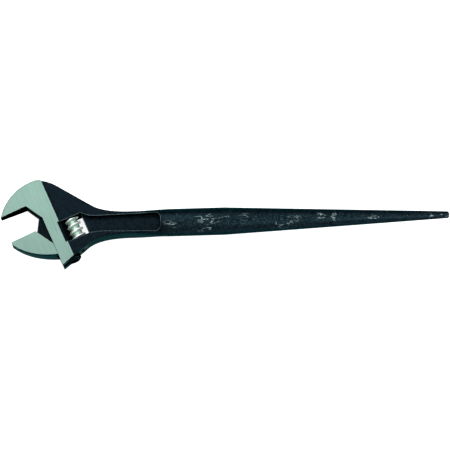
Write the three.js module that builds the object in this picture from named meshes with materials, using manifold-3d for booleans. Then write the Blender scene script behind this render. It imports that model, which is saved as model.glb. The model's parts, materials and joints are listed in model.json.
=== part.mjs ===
// Adjustable construction wrench: a one-piece forged head and tapered spud handle, a sliding jaw on a
// toothed rail, the worm that moves it, the worm's axle pin and the worm's spring.
//
// Millimetres. The wrench lies flat: +X runs from the head to the handle's point, +Z is the thickness.
// Two frames are used. The handle frame has its X axis on the handle's centre line and its origin below
// the mouth's inner corner. The head frame (u, v) is turned by HEAD_ANGLE: its origin is the mouth's
// inner corner, +u points away from the mouth, and +v is the way the sliding jaw closes.

import * as THREE from "three";
import { mergeVertices } from "three/addons/utils/BufferGeometryUtils.js";
import Module from "manifold-3d";

const wasm = await Module();
wasm.setup();

// ---- Overall sizes ----------------------------------------------------------------------------------
const HANDLE_LENGTH = 351; // mouth's inner corner to the handle's point
const HEAD_ANGLE = THREE.MathUtils.degToRad(22.5); // jaw faces to the handle's centre line
const CORNER_HEIGHT = 19.6; // mouth's inner corner above the handle's centre line
const JAW_REACH = 32.3; // throat wall to the jaw tips
const REST_OPENING = 23.8; // distance between the jaw faces as built

// ---- Head and neck ----------------------------------------------------------------------------------
const FORGING_THICKNESS = 16.2; // head behind the ground pad, and neck
const PAD_THICKNESS = 20; // ground pad at its back edge
const TIP_THICKNESS = 9.4; // both jaws at their tips
const PAD_BACK = 11.4; // u of the ground pad's back edge
const HEAD_DROP = 60.8; // fixed jaw face to the head's lower corner
const HEAD_UNDERSIDE = THREE.MathUtils.degToRad(18.2); // slope of the head's lower end in the head frame
const UNDERSIDE_LENGTH = 26; // length of that lower end along u
const CROWN_RADIUS = 40.3; // round back of the fixed jaw
const CROWN_CENTRE = new THREE.Vector2(9.7, -0.5);
const CROWN_END = THREE.MathUtils.degToRad(103); // where the crown meets the shoulder
const SHOULDER = new THREE.Vector2(18.3, 33.4); // start of the straight upper flank
const FLANK_END = new THREE.Vector2(47.5, 15.2); // end of the straight upper flank
const NECK_HALF_WIDTH = 9.8;
const NECK_DROP = 0.8; // the neck's middle below the handle's centre line
const NECK_START_X = 80; // where both flanks have run into the neck
const MOUTH_ANGLE = THREE.MathUtils.degToRad(60); // chamfer at the inner end of each jaw face
const FIXED_CHAMFER = 9; // its length along u on the fixed jaw
const TIP_BLUNTNESS = 1; // flat left on the fixed jaw's tip
const SLIDING_CHAMFER = 10; // its length along u on the sliding jaw
const NOSE_HEEL = 10; // back of the sliding jaw below the foot of its chamfer
const NOSE_TIP_HEIGHT = 3;
const NOSE_BELLY = { out: 0.7, down: 0.61 }; // control point of its lower curve, as shares of JAW_REACH

// ---- Handle -----------------------------------------------------------------------------------------
const GRIP_RADIUS = 11.75;
const GRIP_START_X = 112; // end of the blend from the flat neck to the round grip
const BLEND_START_X = 82;
const TAPER_START_X = 160;
const POINT_RADIUS = 2.95;
const POINT_ROUNDING = 1.8;
const NECK_SQUARENESS = 12; // superellipse power of the flat neck's section; a circle is 2

// ---- Recess in each face of the neck ----------------------------------------------------------------
const RECESS_DEPTH = 4.4;
const RECESS_HALF_WIDTH = 6.8; // where it has left the window
const RECESS_END_HALF_WIDTH = 7.9; // at the grip
const RECESS_DROP = 1.1; // its middle below the handle's centre line
const RECESS_END_X = 105.6;
const RECESS_CORNER_RADIUS = 4.5;
const RECESS_FLARE = 12; // length over which it narrows from the window to its own width

// ---- Window -----------------------------------------------------------------------------------------
const WINDOW = { left: 9.7, right: 31.2, bottom: -43.9, top: -24.7 }; // in the head frame

// ---- Worm pin and spring ----------------------------------------------------------------------------
const PIN_RADIUS = 2;
const PIN_HEAD_OVERHANG = 1; // head's radius beyond the shank's
const PIN_HEAD_HEIGHT = 2.2;
const PIN_HEAD_INSET = 1; // head below the head's lower end
const PIN_SEAT_DEPTH = 5; // blind hole above the window
const DRIVER_SLOT_WIDTH = 0.9;
const DRIVER_SLOT_DEPTH = 0.8;
const WIRE_RADIUS = 0.4;
const SPRING_TURNS = 5; // live turns
const DEAD_TURN_PITCH = 2.1; // rise of a closed end turn, in wire radii
const SPRING_POCKET_DEPTH = 9;
const SPRING_POCKET_WALL = 1.2; // worm's wall around the pocket

// ---- Worm and rack ----------------------------------------------------------------------------------
const WORM_U = 21.8; // worm's axis
const WORM_LEAD = 5.4; // right-hand, one start
const RIDGE_HEIGHT = 2.1;
const RIDGE_HALF_CREST = 0.55;
const FLANK_ANGLE = THREE.MathUtils.degToRad(20);
const CREST_V = -32.6; // v of one ridge's middle on the side that faces the rail

// ---- Rail and web of the sliding jaw -----------------------------------------------------------------
const RAIL_RADIUS = 6.3;
const RAIL_RISE = 8.3; // rail's top above the sliding jaw's face
const RAIL_DROP = 36.2; // rail's lower end below that face
const RAIL_CHAMFER = 1.5;
const WEB_THICKNESS = 6.2;
const WEB_RISE = 11.6; // web's top above the sliding jaw's face
const WEB_FOOT_U = -8.8; // where the web's sloping edge leaves that face

// ---- Clearances -------------------------------------------------------------------------------------
const SLIDE_GAP = 0.3; // web, rail and jaw to the head
const MESH_GAP = 0.25; // rack flanks to the worm's ridge
const ROOT_GAP = 0.15; // rack's crests to the worm's root
const END_GAP = 0.35; // worm's ends to the window
const PIN_GAP = 0.3;
const SPRING_GAP = 0.2; // spring's ends to the pocket and the window

const ROUND_SEGMENTS = 48;
const BLEND_STEPS = 14;
const ROUNDING_STEPS = 5;
const RIDGE_STEPS_PER_TURN = 30;
const SPRING_STEPS_PER_TURN = 16;
const FAR = 200; // longer than any cut

// ---- Worked out from the sizes above ----------------------------------------------------------------
const SLIDING_FACE = -REST_OPENING; // v of the sliding jaw's face as built
const RAIL_TOP = SLIDING_FACE + RAIL_RISE;
const RAIL_BOTTOM = SLIDING_FACE - RAIL_DROP;
const WEB_TOP = SLIDING_FACE + WEB_RISE;
const SPRING_RADIUS = PIN_RADIUS + PIN_GAP + WIRE_RADIUS; // to the middle of the wire
const SPRING_POCKET_RADIUS = SPRING_RADIUS + WIRE_RADIUS + PIN_GAP;
const WORM_ROOT_RADIUS = SPRING_POCKET_RADIUS + SPRING_POCKET_WALL;
const WORM_RADIUS = WORM_ROOT_RADIUS + RIDGE_HEIGHT;
const WORM_BOTTOM = WINDOW.bottom + END_GAP;
const WORM_TOP = WINDOW.top - END_GAP;
const RAIL_U = WORM_U - WORM_ROOT_RADIUS - ROOT_GAP - RAIL_RADIUS; // rail's axis
const THREAD_SLOPE = WORM_LEAD / (2 * Math.PI * (WORM_RADIUS - MESH_GAP));
const PAD_SLOPE = (PAD_THICKNESS - TIP_THICKNESS) / 2 / (PAD_BACK + JAW_REACH);
const FIXED_CHAMFER_DROP = FIXED_CHAMFER * Math.tan(MOUTH_ANGLE);
const SLIDING_CHAMFER_DROP = SLIDING_CHAMFER * Math.tan(MOUTH_ANGLE);

// ---- Solids -----------------------------------------------------------------------------------------

/** A geometry with only its positions left and its shared vertices merged. */
function welded(geometry) {
  const bare = geometry.clone();
  bare.deleteAttribute("normal");
  bare.deleteAttribute("uv");
  return mergeVertices(bare, 1e-4);
}

/** A closed three.js geometry as a manifold-3d solid. */
function solid(geometry) {
  const closed = welded(geometry);
  return new wasm.Manifold(
    new wasm.Mesh({
      numProp: 3,
      vertProperties: new Float32Array(closed.attributes.position.array),
      triVerts: new Uint32Array(closed.index.array),
    }),
  );
}

/** A manifold-3d solid back as a three.js geometry with flat-shaded faces. */
function geometryOf(made) {
  const mesh = made.getMesh();
  const indexed = new THREE.BufferGeometry();
  indexed.setAttribute("position", new THREE.BufferAttribute(mesh.vertProperties, 3));
  indexed.setIndex(new THREE.BufferAttribute(mesh.triVerts, 1));
  const flat = indexed.toNonIndexed();
  flat.computeVertexNormals();
  return flat;
}

/** The union of several solids. */
function join(solids) {
  return solids.reduce((sum, next) => sum.add(next));
}

/** The first solid with all the others cut away. */
function cut(base, cutters) {
  return cutters.reduce((rest, next) => rest.subtract(next), base);
}

/** A shape in the XY plane made into a plate that is symmetric about z = 0. */
function plate(shape, thickness, curveSegments = 24) {
  const geometry = new THREE.ExtrudeGeometry(shape, {
    depth: thickness,
    bevelEnabled: false,
    curveSegments,
  });
  return solid(geometry.translate(0, 0, -thickness / 2));
}

/** A round bar along v in the head frame, between two heights, with equal end chamfers. */
function barAlongV(u, radius, bottom, top, chamfer = 0) {
  const profile = [
    new THREE.Vector2(0, bottom),
    new THREE.Vector2(radius - chamfer, bottom),
    new THREE.Vector2(radius, bottom + chamfer),
    new THREE.Vector2(radius, top - chamfer),
    new THREE.Vector2(radius - chamfer, top),
    new THREE.Vector2(0, top),
  ];
  const kept = chamfer > 0 ? profile : [profile[0], profile[2], profile[3], profile[5]];
  return solid(new THREE.LatheGeometry(kept, ROUND_SEGMENTS).translate(u, 0, 0));
}

/** A plate whose outline is a list of [u, v] corners in the head frame. */
function polygonPlate(corners, thickness) {
  return plate(new THREE.Shape(corners.map(([u, v]) => new THREE.Vector2(u, v))), thickness);
}

/** Half the thickness of the ground pad and of both jaws at a given u. */
function padHalfThickness(u) {
  return PAD_THICKNESS / 2 - PAD_SLOPE * (PAD_BACK - u);
}

/** The wedge between the two ground faces, as a solid in the head frame. */
function groundWedge() {
  const front = -JAW_REACH * 2;
  const section = new THREE.Shape([
    new THREE.Vector2(front, -padHalfThickness(front)),
    new THREE.Vector2(PAD_BACK, -padHalfThickness(PAD_BACK)),
    new THREE.Vector2(PAD_BACK, padHalfThickness(PAD_BACK)),
    new THREE.Vector2(front, padHalfThickness(front)),
  ]);
  const geometry = new THREE.ExtrudeGeometry(section, { depth: FAR, bevelEnabled: false });
  return solid(geometry.translate(0, 0, -FAR / 2).rotateX(Math.PI / 2));
}

// ---- The head frame in the handle frame --------------------------------------------------------------
const HEAD_FRAME = new THREE.Matrix4()
  .makeTranslation(0, CORNER_HEIGHT, 0)
  .multiply(new THREE.Matrix4().makeRotationZ(HEAD_ANGLE));

/** A point of the head frame in the handle frame. */
function fromHead(u, v) {
  const p = new THREE.Vector3(u, v, 0).applyMatrix4(HEAD_FRAME);
  return new THREE.Vector2(p.x, p.y);
}

/** A solid made in the head frame, moved to the handle frame. */
function placeInHead(made) {
  return made.transform(HEAD_FRAME.elements);
}

/** v of the head's lower end at a given u. */
function undersideAt(u) {
  return -HEAD_DROP + u * Math.tan(HEAD_UNDERSIDE);
}

// ---- Body: fixed jaw, head, neck and handle in one forging -------------------------------------------

/** Outline of the forged head and neck in the handle frame, drawn counter-clockwise. */
function headOutline() {
  const tip = fromHead(-JAW_REACH, 0);
  const tipRise = tip.y + TIP_BLUNTNESS - CROWN_CENTRE.y;
  const tipOnCrown = Math.PI - Math.asin(tipRise / CROWN_RADIUS);
  const neckTop = NECK_HALF_WIDTH - NECK_DROP;
  const neckBottom = -NECK_HALF_WIDTH - NECK_DROP;
  const underside = fromHead(UNDERSIDE_LENGTH, undersideAt(UNDERSIDE_LENGTH));
  const undersideSlope = Math.tan(HEAD_ANGLE + HEAD_UNDERSIDE);
  const lowerKnee = underside.x + (neckBottom - underside.y) / undersideSlope;
  const flankSlope = (FLANK_END.y - SHOULDER.y) / (FLANK_END.x - SHOULDER.x);
  const upperKnee = FLANK_END.x + (neckTop - FLANK_END.y) / flankSlope;
  const crownEnd = new THREE.Vector2(Math.cos(CROWN_END), Math.sin(CROWN_END))
    .multiplyScalar(CROWN_RADIUS)
    .add(CROWN_CENTRE);
  const shoulderKnee = SHOULDER.x + (crownEnd.y - SHOULDER.y) / flankSlope;

  const shape = new THREE.Shape();
  const lineTo = (p) => shape.lineTo(p.x, p.y);
  shape.moveTo(tip.x, tip.y);
  lineTo(fromHead(-FIXED_CHAMFER, 0));
  lineTo(fromHead(0, -FIXED_CHAMFER_DROP));
  lineTo(fromHead(0, -HEAD_DROP));
  lineTo(underside);
  shape.quadraticCurveTo(lowerKnee, neckBottom, NECK_START_X, neckBottom);
  shape.lineTo(NECK_START_X, neckTop);
  shape.quadraticCurveTo(upperKnee, neckTop, FLANK_END.x, FLANK_END.y);
  lineTo(SHOULDER);
  shape.quadraticCurveTo(shoulderKnee, crownEnd.y, crownEnd.x, crownEnd.y);
  shape.absarc(CROWN_CENTRE.x, CROWN_CENTRE.y, CROWN_RADIUS, CROWN_END, tipOnCrown, false);
  return shape;
}

/** The head: the forging's plate, and the thicker pad that is ground to a taper towards the tips. */
function headPlate() {
  const outline = headOutline();
  const wedge = placeInHead(groundWedge());
  const behindPad = placeInHead(
    polygonPlate(
      [
        [PAD_BACK, -FAR],
        [FAR, -FAR],
        [FAR, FAR],
        [PAD_BACK, FAR],
      ],
      PAD_THICKNESS * 2,
    ),
  );
  const pad = plate(outline, PAD_THICKNESS).intersect(wedge);
  const rear = plate(outline, FORGING_THICKNESS).intersect(behindPad);
  const bridge = plate(outline, FORGING_THICKNESS / 2);
  return join([pad, rear, bridge]);
}

/** Radius of the round handle at a given x. */
function handleRadius(x) {
  if (x <= TAPER_START_X) return GRIP_RADIUS;
  const along = (x - TAPER_START_X) / (HANDLE_LENGTH - TAPER_START_X);
  return THREE.MathUtils.lerp(GRIP_RADIUS, POINT_RADIUS, along);
}

/** How far the flat neck has become the round grip at a given x, from 0 to 1. */
function roundness(x) {
  return THREE.MathUtils.smoothstep(x, BLEND_START_X, GRIP_START_X);
}

/** Neck, grip and point: a turned bar whose neck end is squared to the flat section of the head. */
function handleBar() {
  const start = NECK_START_X - 2 * NECK_HALF_WIDTH;
  const profile = [new THREE.Vector2(0, start)];
  profile.push(new THREE.Vector2(GRIP_RADIUS, start));
  for (let i = 0; i <= BLEND_STEPS; i++) {
    const x = THREE.MathUtils.lerp(BLEND_START_X, GRIP_START_X, i / BLEND_STEPS);
    profile.push(new THREE.Vector2(GRIP_RADIUS, x));
  }
  profile.push(new THREE.Vector2(GRIP_RADIUS, TAPER_START_X));
  const roundingStart = HANDLE_LENGTH - POINT_ROUNDING;
  const flatEnd = handleRadius(roundingStart) - POINT_ROUNDING;
  for (let i = 0; i <= ROUNDING_STEPS; i++) {
    const a = (i / ROUNDING_STEPS) * (Math.PI / 2);
    profile.push(
      new THREE.Vector2(
        flatEnd + POINT_ROUNDING * Math.cos(a),
        roundingStart + POINT_ROUNDING * Math.sin(a),
      ),
    );
  }
  profile.push(new THREE.Vector2(0, HANDLE_LENGTH));
  const bar = welded(new THREE.LatheGeometry(profile, ROUND_SEGMENTS).rotateZ(-Math.PI / 2));
  squareNeck(bar.attributes.position);
  return solid(bar);
}

/** Reshapes the rings before the grip from circles to rounded rectangles. */
function squareNeck(position) {
  for (let i = 0; i < position.count; i++) {
    const x = position.getX(i);
    const radius = Math.hypot(position.getY(i), position.getZ(i));
    if (x >= GRIP_START_X || radius < 1e-6) continue;
    const round = roundness(x);
    const power = 1 / THREE.MathUtils.lerp(1 / NECK_SQUARENESS, 1 / 2, round);
    const halfWidth = THREE.MathUtils.lerp(NECK_HALF_WIDTH, GRIP_RADIUS, round);
    const halfThickness = THREE.MathUtils.lerp(FORGING_THICKNESS / 2, GRIP_RADIUS, round);
    const bend = (value) => Math.sign(value) * Math.abs(value) ** (2 / power);
    const drop = THREE.MathUtils.lerp(NECK_DROP, 0, round);
    position.setY(i, halfWidth * bend(position.getY(i) / radius) - drop);
    position.setZ(i, halfThickness * bend(position.getZ(i) / radius));
  }
}

/** The shallow panel in one face of the neck, running from the window to the grip. */
function recess(side) {
  const top = fromHead(WINDOW.right, WINDOW.top);
  const bottom = fromHead(WINDOW.right, WINDOW.bottom);
  const inside = fromHead(WINDOW.right - RECESS_DEPTH, (WINDOW.top + WINDOW.bottom) / 2);
  const r = RECESS_CORNER_RADIUS;
  const high = RECESS_HALF_WIDTH - RECESS_DROP;
  const low = -RECESS_HALF_WIDTH - RECESS_DROP;
  const endHigh = RECESS_END_HALF_WIDTH - RECESS_DROP;
  const endLow = -RECESS_END_HALF_WIDTH - RECESS_DROP;
  const shape = new THREE.Shape();
  shape.moveTo(inside.x, inside.y);
  shape.lineTo(bottom.x, bottom.y);
  shape.quadraticCurveTo(bottom.x + RECESS_FLARE / 2, low, bottom.x + RECESS_FLARE, low);
  shape.lineTo(RECESS_END_X - r, endLow);
  shape.absarc(RECESS_END_X - r, endLow + r, r, -Math.PI / 2, 0, false);
  shape.absarc(RECESS_END_X - r, endHigh - r, r, 0, Math.PI / 2, false);
  shape.lineTo(top.x + RECESS_FLARE, high);
  shape.quadraticCurveTo(top.x + RECESS_FLARE / 2, high, top.x, top.y);
  const floor = FORGING_THICKNESS / 2 - RECESS_DEPTH;
  const geometry = new THREE.ExtrudeGeometry(shape, { depth: FAR, bevelEnabled: false });
  return solid(geometry.translate(0, 0, side > 0 ? floor : -floor - FAR));
}

/** Room for the web and its sloping edge, from fully open to fully closed, in the head frame. */
function webSlot() {
  const top = WEB_TOP + REST_OPENING + SLIDE_GAP * 2;
  const slope = Math.tan(MOUTH_ANGLE);
  const foot = WEB_FOOT_U - SLIDE_GAP * 2;
  return polygonPlate(
    [
      [foot, -FAR],
      [RAIL_U, -FAR],
      [RAIL_U, top],
      [foot + top / slope, top],
      [foot, 0],
    ],
    WEB_THICKNESS + SLIDE_GAP * 2,
  );
}

/** The body with its window, keyhole slot, pin hole and recesses cut. */
function bodySolid() {
  const windowCut = polygonPlate(
    [
      [WINDOW.left, WINDOW.bottom],
      [WINDOW.right, WINDOW.bottom],
      [WINDOW.right, WINDOW.top],
      [WINDOW.left, WINDOW.top],
    ],
    PAD_THICKNESS * 2,
  );
  const railTopClosed = RAIL_TOP + REST_OPENING + SLIDE_GAP * 2;
  const railBore = barAlongV(RAIL_U, RAIL_RADIUS + SLIDE_GAP, -FAR, railTopClosed);
  const pinHole = barAlongV(
    WORM_U,
    PIN_RADIUS + PIN_GAP,
    -FAR,
    WINDOW.top + PIN_SEAT_DEPTH + PIN_GAP,
  );
  const pinHeadSeat = barAlongV(
    WORM_U,
    PIN_RADIUS + PIN_HEAD_OVERHANG + PIN_GAP,
    -FAR,
    pinHeadBottom() + PIN_HEAD_HEIGHT + PIN_GAP,
  );
  const headCuts = [windowCut, webSlot(), railBore, pinHole, pinHeadSeat].map(placeInHead);
  return cut(join([headPlate(), handleBar()]), [...headCuts, recess(1), recess(-1)]);
}

// ---- Sliding jaw: jaw nose, web and toothed rail ------------------------------------------------------

/** v of the jaw nose's lowest point, at the throat. */
function noseBottom() {
  return SLIDING_FACE - SLIDING_CHAMFER_DROP - NOSE_HEEL;
}

/** The jaw nose, whose faces are ground flush with the fixed jaw's. */
function jawNose() {
  const back = -SLIDE_GAP;
  const chamferEnd = SLIDING_FACE - (SLIDING_CHAMFER + back) * Math.tan(MOUTH_ANGLE);
  const belly = new THREE.Vector2(
    -JAW_REACH * NOSE_BELLY.out,
    SLIDING_FACE - JAW_REACH * NOSE_BELLY.down,
  );
  const shape = new THREE.Shape();
  shape.moveTo(-JAW_REACH, SLIDING_FACE);
  shape.lineTo(-JAW_REACH - SLIDE_GAP, SLIDING_FACE - NOSE_TIP_HEIGHT);
  shape.quadraticCurveTo(belly.x, belly.y, back, noseBottom());
  shape.lineTo(back, chamferEnd);
  shape.lineTo(-SLIDING_CHAMFER, SLIDING_FACE);
  return plate(shape, PAD_THICKNESS).intersect(groundWedge());
}

/** The thin web that joins the nose to the rail through the slot in the throat. */
function jawWeb() {
  const overlap = 2; // how far the web reaches into the nose and the rail
  const railEnd = RAIL_BOTTOM + RAIL_CHAMFER;
  return polygonPlate(
    [
      [-SLIDING_CHAMFER - overlap, SLIDING_FACE],
      [-SLIDING_CHAMFER - overlap, SLIDING_FACE - SLIDING_CHAMFER],
      [-overlap, noseBottom()],
      [RAIL_U - overlap, railEnd],
      [RAIL_U, railEnd],
      [RAIL_U, RAIL_TOP - RAIL_CHAMFER],
      [RAIL_U - RAIL_RADIUS, WEB_TOP],
      [WEB_FOOT_U + WEB_RISE / Math.tan(MOUTH_ANGLE), WEB_TOP],
      [WEB_FOOT_U, SLIDING_FACE],
    ],
    WEB_THICKNESS,
  );
}

/** The grooves that the worm's ridge runs in, one per lead, leaning at the thread's own slope. */
function rackGrooves() {
  const bottomU = WORM_U - WORM_RADIUS - SLIDE_GAP;
  const topU = RAIL_U + RAIL_RADIUS + SLIDE_GAP;
  const widen = Math.tan(FLANK_ANGLE);
  const half = (u) => RIDGE_HALF_CREST + MESH_GAP + (u - WORM_U + WORM_RADIUS) * widen;
  const lean = new THREE.Matrix4().makeShear(0, 0, 0, 0, 0, THREAD_SLOPE);
  const first = Math.ceil((RAIL_BOTTOM - CREST_V) / WORM_LEAD);
  const last = Math.floor((RAIL_TOP - CREST_V) / WORM_LEAD);
  const grooves = [];
  for (let i = first; i <= last; i++) {
    const v = CREST_V + i * WORM_LEAD;
    const groove = polygonPlate(
      [
        [bottomU, v - half(bottomU)],
        [topU, v - half(topU)],
        [topU, v + half(topU)],
        [bottomU, v + half(bottomU)],
      ],
      RAIL_RADIUS * 3,
    );
    grooves.push(groove.transform(lean.elements));
  }
  return grooves;
}

/** The sliding jaw in one piece: nose, web and the rail with its rack. */
function slidingJawSolid() {
  const rail = cut(barAlongV(RAIL_U, RAIL_RADIUS, RAIL_BOTTOM, RAIL_TOP, RAIL_CHAMFER), rackGrooves());
  return placeInHead(join([jawNose(), jawWeb(), rail]));
}

// ---- Worm -------------------------------------------------------------------------------------------

/** The worm's ridge: a straight bar of trapezoid section wrapped into a right-hand helix. */
function wormRidge() {
  const halfBase = RIDGE_HALF_CREST + RIDGE_HEIGHT * Math.tan(FLANK_ANGLE);
  const sunk = RIDGE_HEIGHT / 4;
  const section = new THREE.Shape([
    new THREE.Vector2(-halfBase, WORM_ROOT_RADIUS - sunk),
    new THREE.Vector2(halfBase, WORM_ROOT_RADIUS - sunk),
    new THREE.Vector2(halfBase, WORM_ROOT_RADIUS),
    new THREE.Vector2(RIDGE_HALF_CREST, WORM_RADIUS),
    new THREE.Vector2(-RIDGE_HALF_CREST, WORM_RADIUS),
    new THREE.Vector2(-halfBase, WORM_ROOT_RADIUS),
  ]);
  const turnsBelow = Math.ceil((CREST_V - WORM_BOTTOM) / WORM_LEAD) + 1;
  const turnsAbove = Math.ceil((WORM_TOP - CREST_V) / WORM_LEAD) + 1;
  const turns = turnsBelow + turnsAbove;
  const bar = new THREE.ExtrudeGeometry(section, {
    depth: turns,
    steps: turns * RIDGE_STEPS_PER_TURN,
    bevelEnabled: false,
  });
  const position = bar.attributes.position;
  for (let i = 0; i < position.count; i++) {
    const turn = position.getZ(i) - turnsBelow;
    const angle = turn * 2 * Math.PI;
    const v = CREST_V + position.getX(i) + turn * WORM_LEAD;
    const radius = position.getY(i);
    position.setXYZ(i, WORM_U - radius * Math.cos(angle), v, radius * Math.sin(angle));
  }
  return solid(bar);
}

/** The worm, bored for its pin and counterbored at the top for its spring. */
function wormSolid() {
  const core = barAlongV(WORM_U, WORM_ROOT_RADIUS, WORM_BOTTOM, WORM_TOP);
  const envelope = barAlongV(WORM_U, WORM_RADIUS * 2, WORM_BOTTOM, WORM_TOP);
  const bore = barAlongV(WORM_U, PIN_RADIUS + PIN_GAP, -FAR, FAR);
  const pocket = barAlongV(WORM_U, SPRING_POCKET_RADIUS, WORM_TOP - SPRING_POCKET_DEPTH, FAR);
  const ridge = wormRidge().intersect(envelope);
  return placeInHead(cut(core.add(ridge), [bore, pocket]));
}

// ---- Worm pin -----------------------------------------------------------------------------------------

/** v of the lower face of the pin's head. */
function pinHeadBottom() {
  return undersideAt(WORM_U) + PIN_HEAD_INSET;
}

/** The worm's axle: a round pin with a slotted head at its lower end. */
function wormPinSolid() {
  const bottom = pinHeadBottom();
  const headRadius = PIN_RADIUS + PIN_HEAD_OVERHANG;
  const head = barAlongV(WORM_U, headRadius, bottom, bottom + PIN_HEAD_HEIGHT);
  const shank = barAlongV(WORM_U, PIN_RADIUS, bottom, WINDOW.top + PIN_SEAT_DEPTH);
  const slot = new THREE.BoxGeometry(headRadius * 3, DRIVER_SLOT_DEPTH * 2, DRIVER_SLOT_WIDTH);
  return placeInHead(cut(head.add(shank), [solid(slot.translate(WORM_U, bottom, 0))]));
}

// ---- Worm spring --------------------------------------------------------------------------------------

/** The middle line of a coil spring between two heights, with a dead turn at each end. */
class SpringLine extends THREE.Curve {
  constructor(bottom, top) {
    super();
    this.bottom = bottom;
    this.top = top;
  }

  getPoint(t, target = new THREE.Vector3()) {
    const deadShare = 1 / (SPRING_TURNS + 2);
    const rise = THREE.MathUtils.clamp((t - deadShare) / (1 - 2 * deadShare), 0, 1);
    const dead = WIRE_RADIUS * DEAD_TURN_PITCH;
    const atEnds = Math.min(t, deadShare) + Math.max(t - 1 + deadShare, 0);
    const free = this.top - this.bottom - 2 * dead;
    const v = this.bottom + rise * free + (atEnds / deadShare) * dead;
    const angle = t * (SPRING_TURNS + 2) * 2 * Math.PI;
    return target.set(
      WORM_U + SPRING_RADIUS * Math.cos(angle),
      v,
      SPRING_RADIUS * Math.sin(angle),
    );
  }
}

/** The coil spring around the pin, between the worm's pocket and the window's top. */
function wormSpringSolid() {
  const bottom = WORM_TOP - SPRING_POCKET_DEPTH + SPRING_GAP + WIRE_RADIUS;
  const top = WINDOW.top - SPRING_GAP - WIRE_RADIUS;
  const section = new THREE.Shape();
  section.absarc(0, 0, WIRE_RADIUS, 0, 2 * Math.PI, false);
  const geometry = new THREE.ExtrudeGeometry(section, {
    steps: (SPRING_TURNS + 2) * SPRING_STEPS_PER_TURN,
    curveSegments: 4,
    extrudePath: new SpringLine(bottom, top),
  });
  return placeInHead(solid(geometry));
}

// ---- Scene --------------------------------------------------------------------------------------------

/** A named mesh with its own material. */
function piece(name, made, color, roughness, metalness) {
  const material = new THREE.MeshStandardMaterial({ color, roughness, metalness });
  const mesh = new THREE.Mesh(geometryOf(made), material);
  mesh.name = name;
  return mesh;
}

const wrench = new THREE.Group();
wrench.name = "adjustable_construction_wrench";
wrench.add(
  piece("body", bodySolid(), 0x1c2a32, 0.55, 0.8),
  piece("sliding_jaw", slidingJawSolid(), 0x91a8a0, 0.4, 0.9),
  piece("worm", wormSolid(), 0xb9c6c2, 0.3, 0.95),
  piece("worm_pin", wormPinSolid(), 0x22303a, 0.5, 0.85),
  piece("worm_spring", wormSpringSolid(), 0x8f989a, 0.35, 0.95),
);

// The group's origin is the middle of the underside of the whole wrench.
const extent = new THREE.Box3().setFromObject(wrench);
const middle = extent.getCenter(new THREE.Vector3());
wrench.position.set(-middle.x, -middle.y, -extent.min.z);

export default wrench;
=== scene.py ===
"""Adjustable construction wrench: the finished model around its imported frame.

Five separate pieces: the one-piece forging of fixed jaw, head, neck and spud handle; the sliding jaw
with its web and toothed rail; the worm; the worm's axle pin; and the worm's thrust spring. Shapes are
modelled in millimetres in the row frame and brought to metres when they are finished.
"""

import sys
import json
import logging
import math
from collections.abc import Callable, Iterable, Sequence
from dataclasses import dataclass
from enum import Enum

import bmesh
import bpy
from mathutils import Matrix, Vector


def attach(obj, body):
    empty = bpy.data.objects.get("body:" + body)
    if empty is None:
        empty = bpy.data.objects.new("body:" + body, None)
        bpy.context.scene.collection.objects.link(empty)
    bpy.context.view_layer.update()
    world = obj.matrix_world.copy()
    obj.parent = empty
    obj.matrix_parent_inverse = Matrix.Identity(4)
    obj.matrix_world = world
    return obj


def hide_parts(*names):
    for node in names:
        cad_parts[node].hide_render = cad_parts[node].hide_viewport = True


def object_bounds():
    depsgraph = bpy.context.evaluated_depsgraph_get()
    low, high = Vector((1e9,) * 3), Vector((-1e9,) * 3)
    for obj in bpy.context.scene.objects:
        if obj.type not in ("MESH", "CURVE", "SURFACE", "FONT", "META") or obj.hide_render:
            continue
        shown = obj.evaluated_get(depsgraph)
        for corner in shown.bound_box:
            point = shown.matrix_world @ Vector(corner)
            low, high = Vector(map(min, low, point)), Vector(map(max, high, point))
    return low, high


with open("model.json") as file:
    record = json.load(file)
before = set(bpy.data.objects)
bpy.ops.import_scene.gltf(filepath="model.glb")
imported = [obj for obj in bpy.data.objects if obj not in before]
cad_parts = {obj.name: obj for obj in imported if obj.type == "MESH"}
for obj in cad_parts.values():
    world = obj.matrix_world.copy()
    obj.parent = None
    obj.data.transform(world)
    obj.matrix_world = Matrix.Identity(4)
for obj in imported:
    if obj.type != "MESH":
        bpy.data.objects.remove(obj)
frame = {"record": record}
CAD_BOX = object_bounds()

LOG = logging.getLogger("wrench")
TO_MM = 1000.0
TO_METRES = 0.001
UP = Vector((0.0, 0.0, 1.0))
SMOOTH_BELOW = math.radians(30)
MERGE_BELOW = 1e-4
REPEAT_BELOW = 1e-3
CUT_BELOW = 1e-5
ON_LINE = 0.01
ON_PLANE = 0.02
CLEAR_OF = 0.05
QUAD = 4

Socket = bpy.types.NodeSocket
Span = tuple[float, float]
Sizes = tuple[float, float, float]
Stretch = tuple[float, float, float, float]


# ---- The wrench's own directions ---------------------------------------------------------------------


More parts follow.
